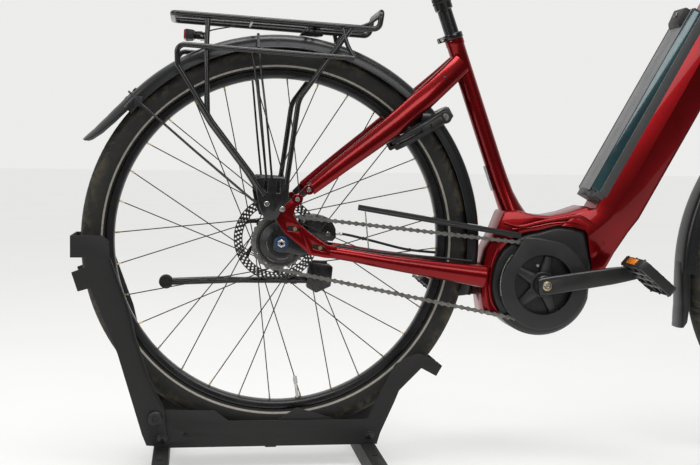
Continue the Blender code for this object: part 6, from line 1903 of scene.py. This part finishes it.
def make_kickstand():
    clamp = [(0.0655, -0.042), (0.1038, -0.0445), (0.1115, -0.05), (0.1095, -0.087), (0.082, -0.101),
             (0.0625, -0.091), (0.063, -0.06)]
    piece("kickstand_block", side_slab(clamp, 0.0583, 0.0783, 1), BLACK, "kickstand_bracket",
          edge=0.0022)
    lug = [(0.072, -0.0388), (0.1, -0.0388), (0.1, -0.05), (0.072, -0.05)]
    piece("kickstand_lug", side_slab(lug, 0.0605, 0.0695, 1), BLACK, edge=0.001)
    spots = [Vector((0.09, 0.0583, -0.056)), Vector((0.076, 0.0583, -0.07))]
    screws("kickstand_bolts", spots, (0, -1, 0), 0.0052, "frame", "black_metal", BLACK)
    foot = Vector((-0.2016, 0.094, -0.095))
    path = smooth([KICK_PIVOT + Vector((0.014, 0.001, 0)), KICK_PIVOT, Vector((-0.055, 0.089, -0.085)),
                   Vector((-0.1, 0.09, -0.087)), foot + Vector((0.004, 0, 0))], 6)
    steps = len(path) - 1
    radii = [blend_points([0.009, 0.008, 0.0058, 0.0071, 0.0071], n / steps) for n in range(steps + 1)]
    piece("kickstand_tube", tube(path, radii, 24), BLACK, "kickstand_leg", body="kickstand")
    collar = [tube([p, q], [0.0098, 0.0098], 24)
              for p, q in ((Vector((0.046, 0.0886, -0.0789)), Vector((0.034, 0.0887, -0.0793))),
                           (Vector((0.028, 0.0887, -0.0795)), Vector((0.024, 0.0887, -0.0797))))]
    piece("kickstand_collar", together(*collar), BLACK, body="kickstand", edge=0.0006)
    pad = turned([(0, foot.y - 0.009), (0.0105, foot.y - 0.009), (0.013, foot.y - 0.0066),
                  (0.0134, foot.y - 0.003), (0.0134, foot.y + 0.003), (0.013, foot.y + 0.0066),
                  (0.0105, foot.y + 0.009), (0, foot.y + 0.009)], 32, Vector((foot.x, 0, foot.z)))
    piece("kickstand_foot", pad, GRIP, body="kickstand")


# ---------------------------------------------------------------- stand
def hexagon_bolt(spot, side, radius=0.0072, height=0.0052):
    """A washer and a six-sided head."""
    where = {"centre": spot, "run": (0, side, 0)}
    flat = drum(radius * 1.32, 0.0, 0.0013, 32, 0.0003, **where)
    head = turned([(0, 0.0011), (radius, 0.0011), (radius, height - 0.001), (radius * 0.86, height),
                   (0, height)], 6, **where)
    return together(flat, head)


def make_stand():
    sheet = 0.003
    inner = 0.048
    outer = inner + sheet
    far = outer + 0.0003 + sheet
    ear = -0.369
    rail = [(-0.222, -0.3705), (0.181, -0.3705), (0.187, -0.35), (0.213, -0.292), (0.221, -0.272),
            (0.262, -0.231), (0.29, -0.246), (0.301, -0.227), (0.277, -0.211), (0.268, -0.2075),
            (0.257, -0.203), (0.235, -0.211), (0.213, -0.223), (0.197, -0.254), (0.176, -0.294),
            (0.163, -0.324), (-0.09, -0.323), (-0.115, -0.304), (-0.204, -0.301), (-0.228, -0.316),
            (-0.232, -0.345)]
    arm = [(-0.236, -0.365), (-0.244, -0.345), (-0.287, -0.199), (-0.304, -0.156), (-0.335, -0.082),
           (-0.356, -0.088), (-0.367, -0.054), (-0.343, -0.045), (-0.341, -0.028), (ear, -0.028),
           (ear, 0.011), (-0.312, 0.011), (-0.302, 0.001), (-0.301, -0.028), (-0.291, -0.05),
           (-0.266, -0.124), (-0.256, -0.17), (-0.248, -0.196), (-0.231, -0.245), (-0.205, -0.295),
           (-0.2, -0.352), (-0.222, -0.366)]
    for side, word in SIDES:
        holes = [turned([(0, 0.03), (0.0042, 0.03), (0.0042, 0.08), (0, 0.08)], 24, Vector((x, 0, z)),
                        (0, side, 0)) for x, z in ((-0.167, -0.347),)]
        piece(f"stand_side_{word}", side_slab(rail, inner, outer, side), POWDER,
              f"stand_rail_{word}", body="stand", place=STANDING, edge=0.001, crease=25, cuts=holes)
        tab = [(0.29, -0.246), (0.301, -0.227), (0.2985, -0.2256), (0.2875, -0.2446)]
        piece(f"stand_front_stop_{word}", side_slab(tab, 0.006, outer - 0.001, side), POWDER, body="stand",
              place=STANDING, edge=0.0008)
        piece(f"stand_rear_plate_{word}", side_slab(arm, outer + 0.0003, far, side), POWDER,
              f"stand_rear_arm_{word}", body="stand", place=STANDING, edge=0.001, crease=25)
        wrap = [(ear, -0.028), (ear + sheet, -0.028), (ear + sheet, 0.011), (ear, 0.011)]
        piece(f"stand_rear_stop_{word}", side_slab(wrap, 0.006, far - 0.001, side), POWDER, body="stand",
              place=STANDING, edge=0.001)
        fold = [(-0.301, -0.029), (-0.2985, -0.03), (-0.2645, -0.125), (-0.254, -0.1705), (-0.23, -0.245),
                (-0.2055, -0.296), (-0.208, -0.2945), (-0.233, -0.244), (-0.258, -0.169), (-0.268, -0.123)]
        piece(f"stand_rear_fold_{word}", side_slab(fold, outer + 0.001, far + 0.004, side), POWDER,
              body="stand", place=STANDING, edge=0.0008)
        nuts = [hexagon_bolt(Vector((x, side * (far if x < 0 else outer), z)), side)
                for x, z in ((-0.208, -0.352), (0.167, -0.352))]
        piece(f"stand_bolts_{word}", together(*nuts), HUB, body="stand", slot="stand_powder_coat",
              place=STANDING, edge=0.0004, crease=30)
    x, z = (-0.22, -0.316)
    head = far + 0.0003
    half = [(0, -head - 0.004), (0.005, -head - 0.004), (0.0058, -head - 0.0058), (0.0105, -head - 0.0058),
            (0.0132, -head - 0.0035), (0.0135, -head), (0.0048, -head), (0.0048, -inner + 0.0003),
            (0.008, -inner + 0.0003)]
    profile = half + [(r, -y) for r, y in reversed(half)]
    piece("stand_cap_bolt", turned(profile, 48, Vector((x, 0, z))), PLASTIC, "stand_cross_bolt",
          body="stand", slot="black_metal", place=STANDING, crease=30)
    floor = -TYRE_RADIUS - 0.0003
    tray_half = 0.044
    piece("stand_tray", block((-0.185, -tray_half, floor - sheet), (0.14, tray_half, floor)), POWDER,
          "wheel_tray", body="stand", place=STANDING, edge=0.001)
    fin = [(0.0, floor - 0.002), (0.101, floor - 0.002), (0.101, -0.323), (0.034, -0.302), (0.0, -0.323)]
    for side, word in SIDES:
        piece(f"stand_fin_{word}", side_slab(fin, tray_half - sheet, tray_half, side), POWDER, body="stand",
              place=STANDING, edge=0.001)
    post = block((-0.023, -0.03, -0.378), (-0.002, 0.03, floor - 0.001))
    piece("stand_tray_post", post, POWDER, body="stand", place=STANDING, edge=0.0015)
    low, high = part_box("stand_foot_rear")
    for word in ("rear", "front"):
        low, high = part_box(f"stand_foot_{word}")
        top = high.z
        rings = []
        length = high.y - low.y
        for y, shrink in ((low.y, 0.006), (low.y + 0.004, 0.001), (low.y + 0.012, 0.0), (high.y - 0.012, 0.0),
                          (high.y - 0.004, 0.001), (high.y, 0.006)):
            rings.append([Vector((a, y, b)) for a, b in ((low.x + shrink, low.z + shrink),
                                                         (high.x - shrink, low.z + shrink),
                                                         (high.x - shrink, top - shrink),
                                                         (low.x + shrink, top - shrink))])
        middle = (low + high) / 2
        cuts = []
        for y in (-0.125, 0.125):
            cuts.append(turned([(0, -0.1), (0.0045, -0.1), (0.0045, 0.1), (0, 0.1)], 24,
                               Vector((middle.x, middle.y + y, middle.z)), (0, 0, 1)))
        piece(f"foot_bar_{word}", loft(rings), POWDER, f"stand_foot_{word}", body="stand",
              place=Matrix.Identity(4), edge=0.0016, cuts=cuts)
        ends = [block((low.x + 0.002, s * (length / 2 + 0.0) - 0.004 * s - 0.003, low.z + 0.001),
                      (high.x - 0.002, s * (length / 2) - 0.004 * s + 0.003, top + 0.0008)) for s in (-1, 1)]
        piece(f"foot_end_caps_{word}", together(*ends), PLASTIC, body="stand", place=Matrix.Identity(4),
              edge=0.0015)


# ---------------------------------------------------------------- the whole object
make_wheels()
make_axle_ends()
make_chain()
make_chain_wheels()
make_cranks()
make_pedals()
make_motor()
make_ring_guard()
make_chain_guard()
make_seat_tube()
make_seat_clamp()
make_seat_post()
make_saddle()
make_head_tube()
make_down_tube()
make_battery()
make_chainstays()
make_seatstays()
make_fork()
make_mudguards()
make_stem_and_bar()
make_rack()
make_mudguard_stay()
make_tail_lamp()
make_ring_lock()
make_rear_caliper()
make_cables()
make_kickstand()
make_stand()


# ---------------------------------------------------------------- studio
def studio_floor():
    recipe = Finish("studio_floor_pale", (0.42, 0.42, 0.415), 0.7)
    drift = recipe.ramp(recipe.noise(1.5, 2.0), 0.2, 0.8)
    recipe.set("Base Color", recipe.mix(drift, (0.41, 0.41, 0.405), (0.43, 0.43, 0.425)))
    recipe.set("Emission Color", (1.0, 0.998, 0.985, 1))
    recipe.set("Emission Strength", 0.47)
    mesh = bpy.data.meshes.new("studio_floor")
    mesh.from_pydata([(-9, -1.5, 0), (9, -1.5, 0), (30, 40, 0), (-30, 40, 0)], [], [(0, 1, 2, 3)])
    mesh.materials.append(recipe.material)
    floor = bpy.data.objects.new("studio_floor", mesh)
    floor.location.z = -0.0004
    bpy.context.collection.objects.link(floor)


def soft_lamp(name, spot, target, size, power, tint=(1, 1, 1)):
    data = bpy.data.lights.new(name, "AREA")
    data.shape = "RECTANGLE"
    data.size, data.size_y = size
    data.energy = power
    data.color = tint
    lamp = bpy.data.objects.new(name, data)
    spot = Vector(spot)
    aim = (Vector(target) - spot).to_track_quat("-Z", "Y")
    lamp.matrix_world = Matrix.Translation(spot) @ aim.to_matrix().to_4x4()
    bpy.context.collection.objects.link(lamp)


def studio_light():
    world = bpy.data.worlds.new("studio")
    world.use_nodes = True
    sky = Wiring(world.node_tree)
    parts = sky.tree.nodes.new("ShaderNodeSeparateXYZ")
    sky.feed(parts.inputs[0], sky.node("ShaderNodeTexCoord", output="Generated"))
    behind = Signal(sky, parts.outputs[1])
    above = Signal(sky, parts.outputs[2])
    room = sky.node("ShaderNodeMapRange", None, {"Value": behind, "From Min": -0.3, "From Max": 0.7,
                                                 "To Min": 0.1, "To Max": 0.7})
    room = room + sky.node("ShaderNodeMapRange", None, {"Value": above, "From Min": 0.35, "From Max": 0.95,
                                                        "To Min": 0.0, "To Max": 0.55})
    seen = sky.node("ShaderNodeLightPath", output="Is Camera Ray")
    background = world.node_tree.nodes["Background"]
    background.inputs[0].default_value = (1.0, 0.998, 0.985, 1)
    sky.feed(background.inputs[1], seen * 0.845 + (1 - seen) * room)
    bpy.context.scene.world = world
    bpy.context.scene.view_settings.view_transform = "Standard"
    aim = REAR + Vector((0.3, 0, 0.1))
    soft_lamp("overhead_softbox", aim + Vector((-0.2, -0.4, 2.4)), aim, (2.6, 1.0), 46.0)
    soft_lamp("left_softbox", aim + Vector((-2.8, -1.4, 1.3)), aim, (0.8, 1.8), 20.0)
    soft_lamp("front_softbox", aim + Vector((0.6, -4.2, 1.9)), aim, (3.2, 1.2), 44.0)


def view_camera():
    data = bpy.data.cameras.new("front_view")
    data.sensor_width = 36.0
    data.lens = 60.05
    data.clip_start = 0.05
    data.clip_end = 200.0
    camera = bpy.data.objects.new("front_view", data)
    yaw, pitch, roll = (radians(a) for a in (7.69, 3.71, 0.79))
    ahead = Vector((sin(yaw) * cos(pitch), cos(yaw) * cos(pitch), -sin(pitch)))
    right = Vector((cos(yaw), -sin(yaw), 0))
    up = right.cross(ahead)
    across = right * cos(roll) + up * sin(roll)
    above = up * cos(roll) - right * sin(roll)
    turn = Matrix((across, above, -ahead)).transposed().to_4x4()
    camera.matrix_world = Matrix.Translation(REAR + Vector((-0.156, -2.139, 0.155))) @ turn
    bpy.context.collection.objects.link(camera)
    bpy.context.scene.camera = camera


studio_floor()
studio_light()
view_camera()

bpy.context.view_layer.update()
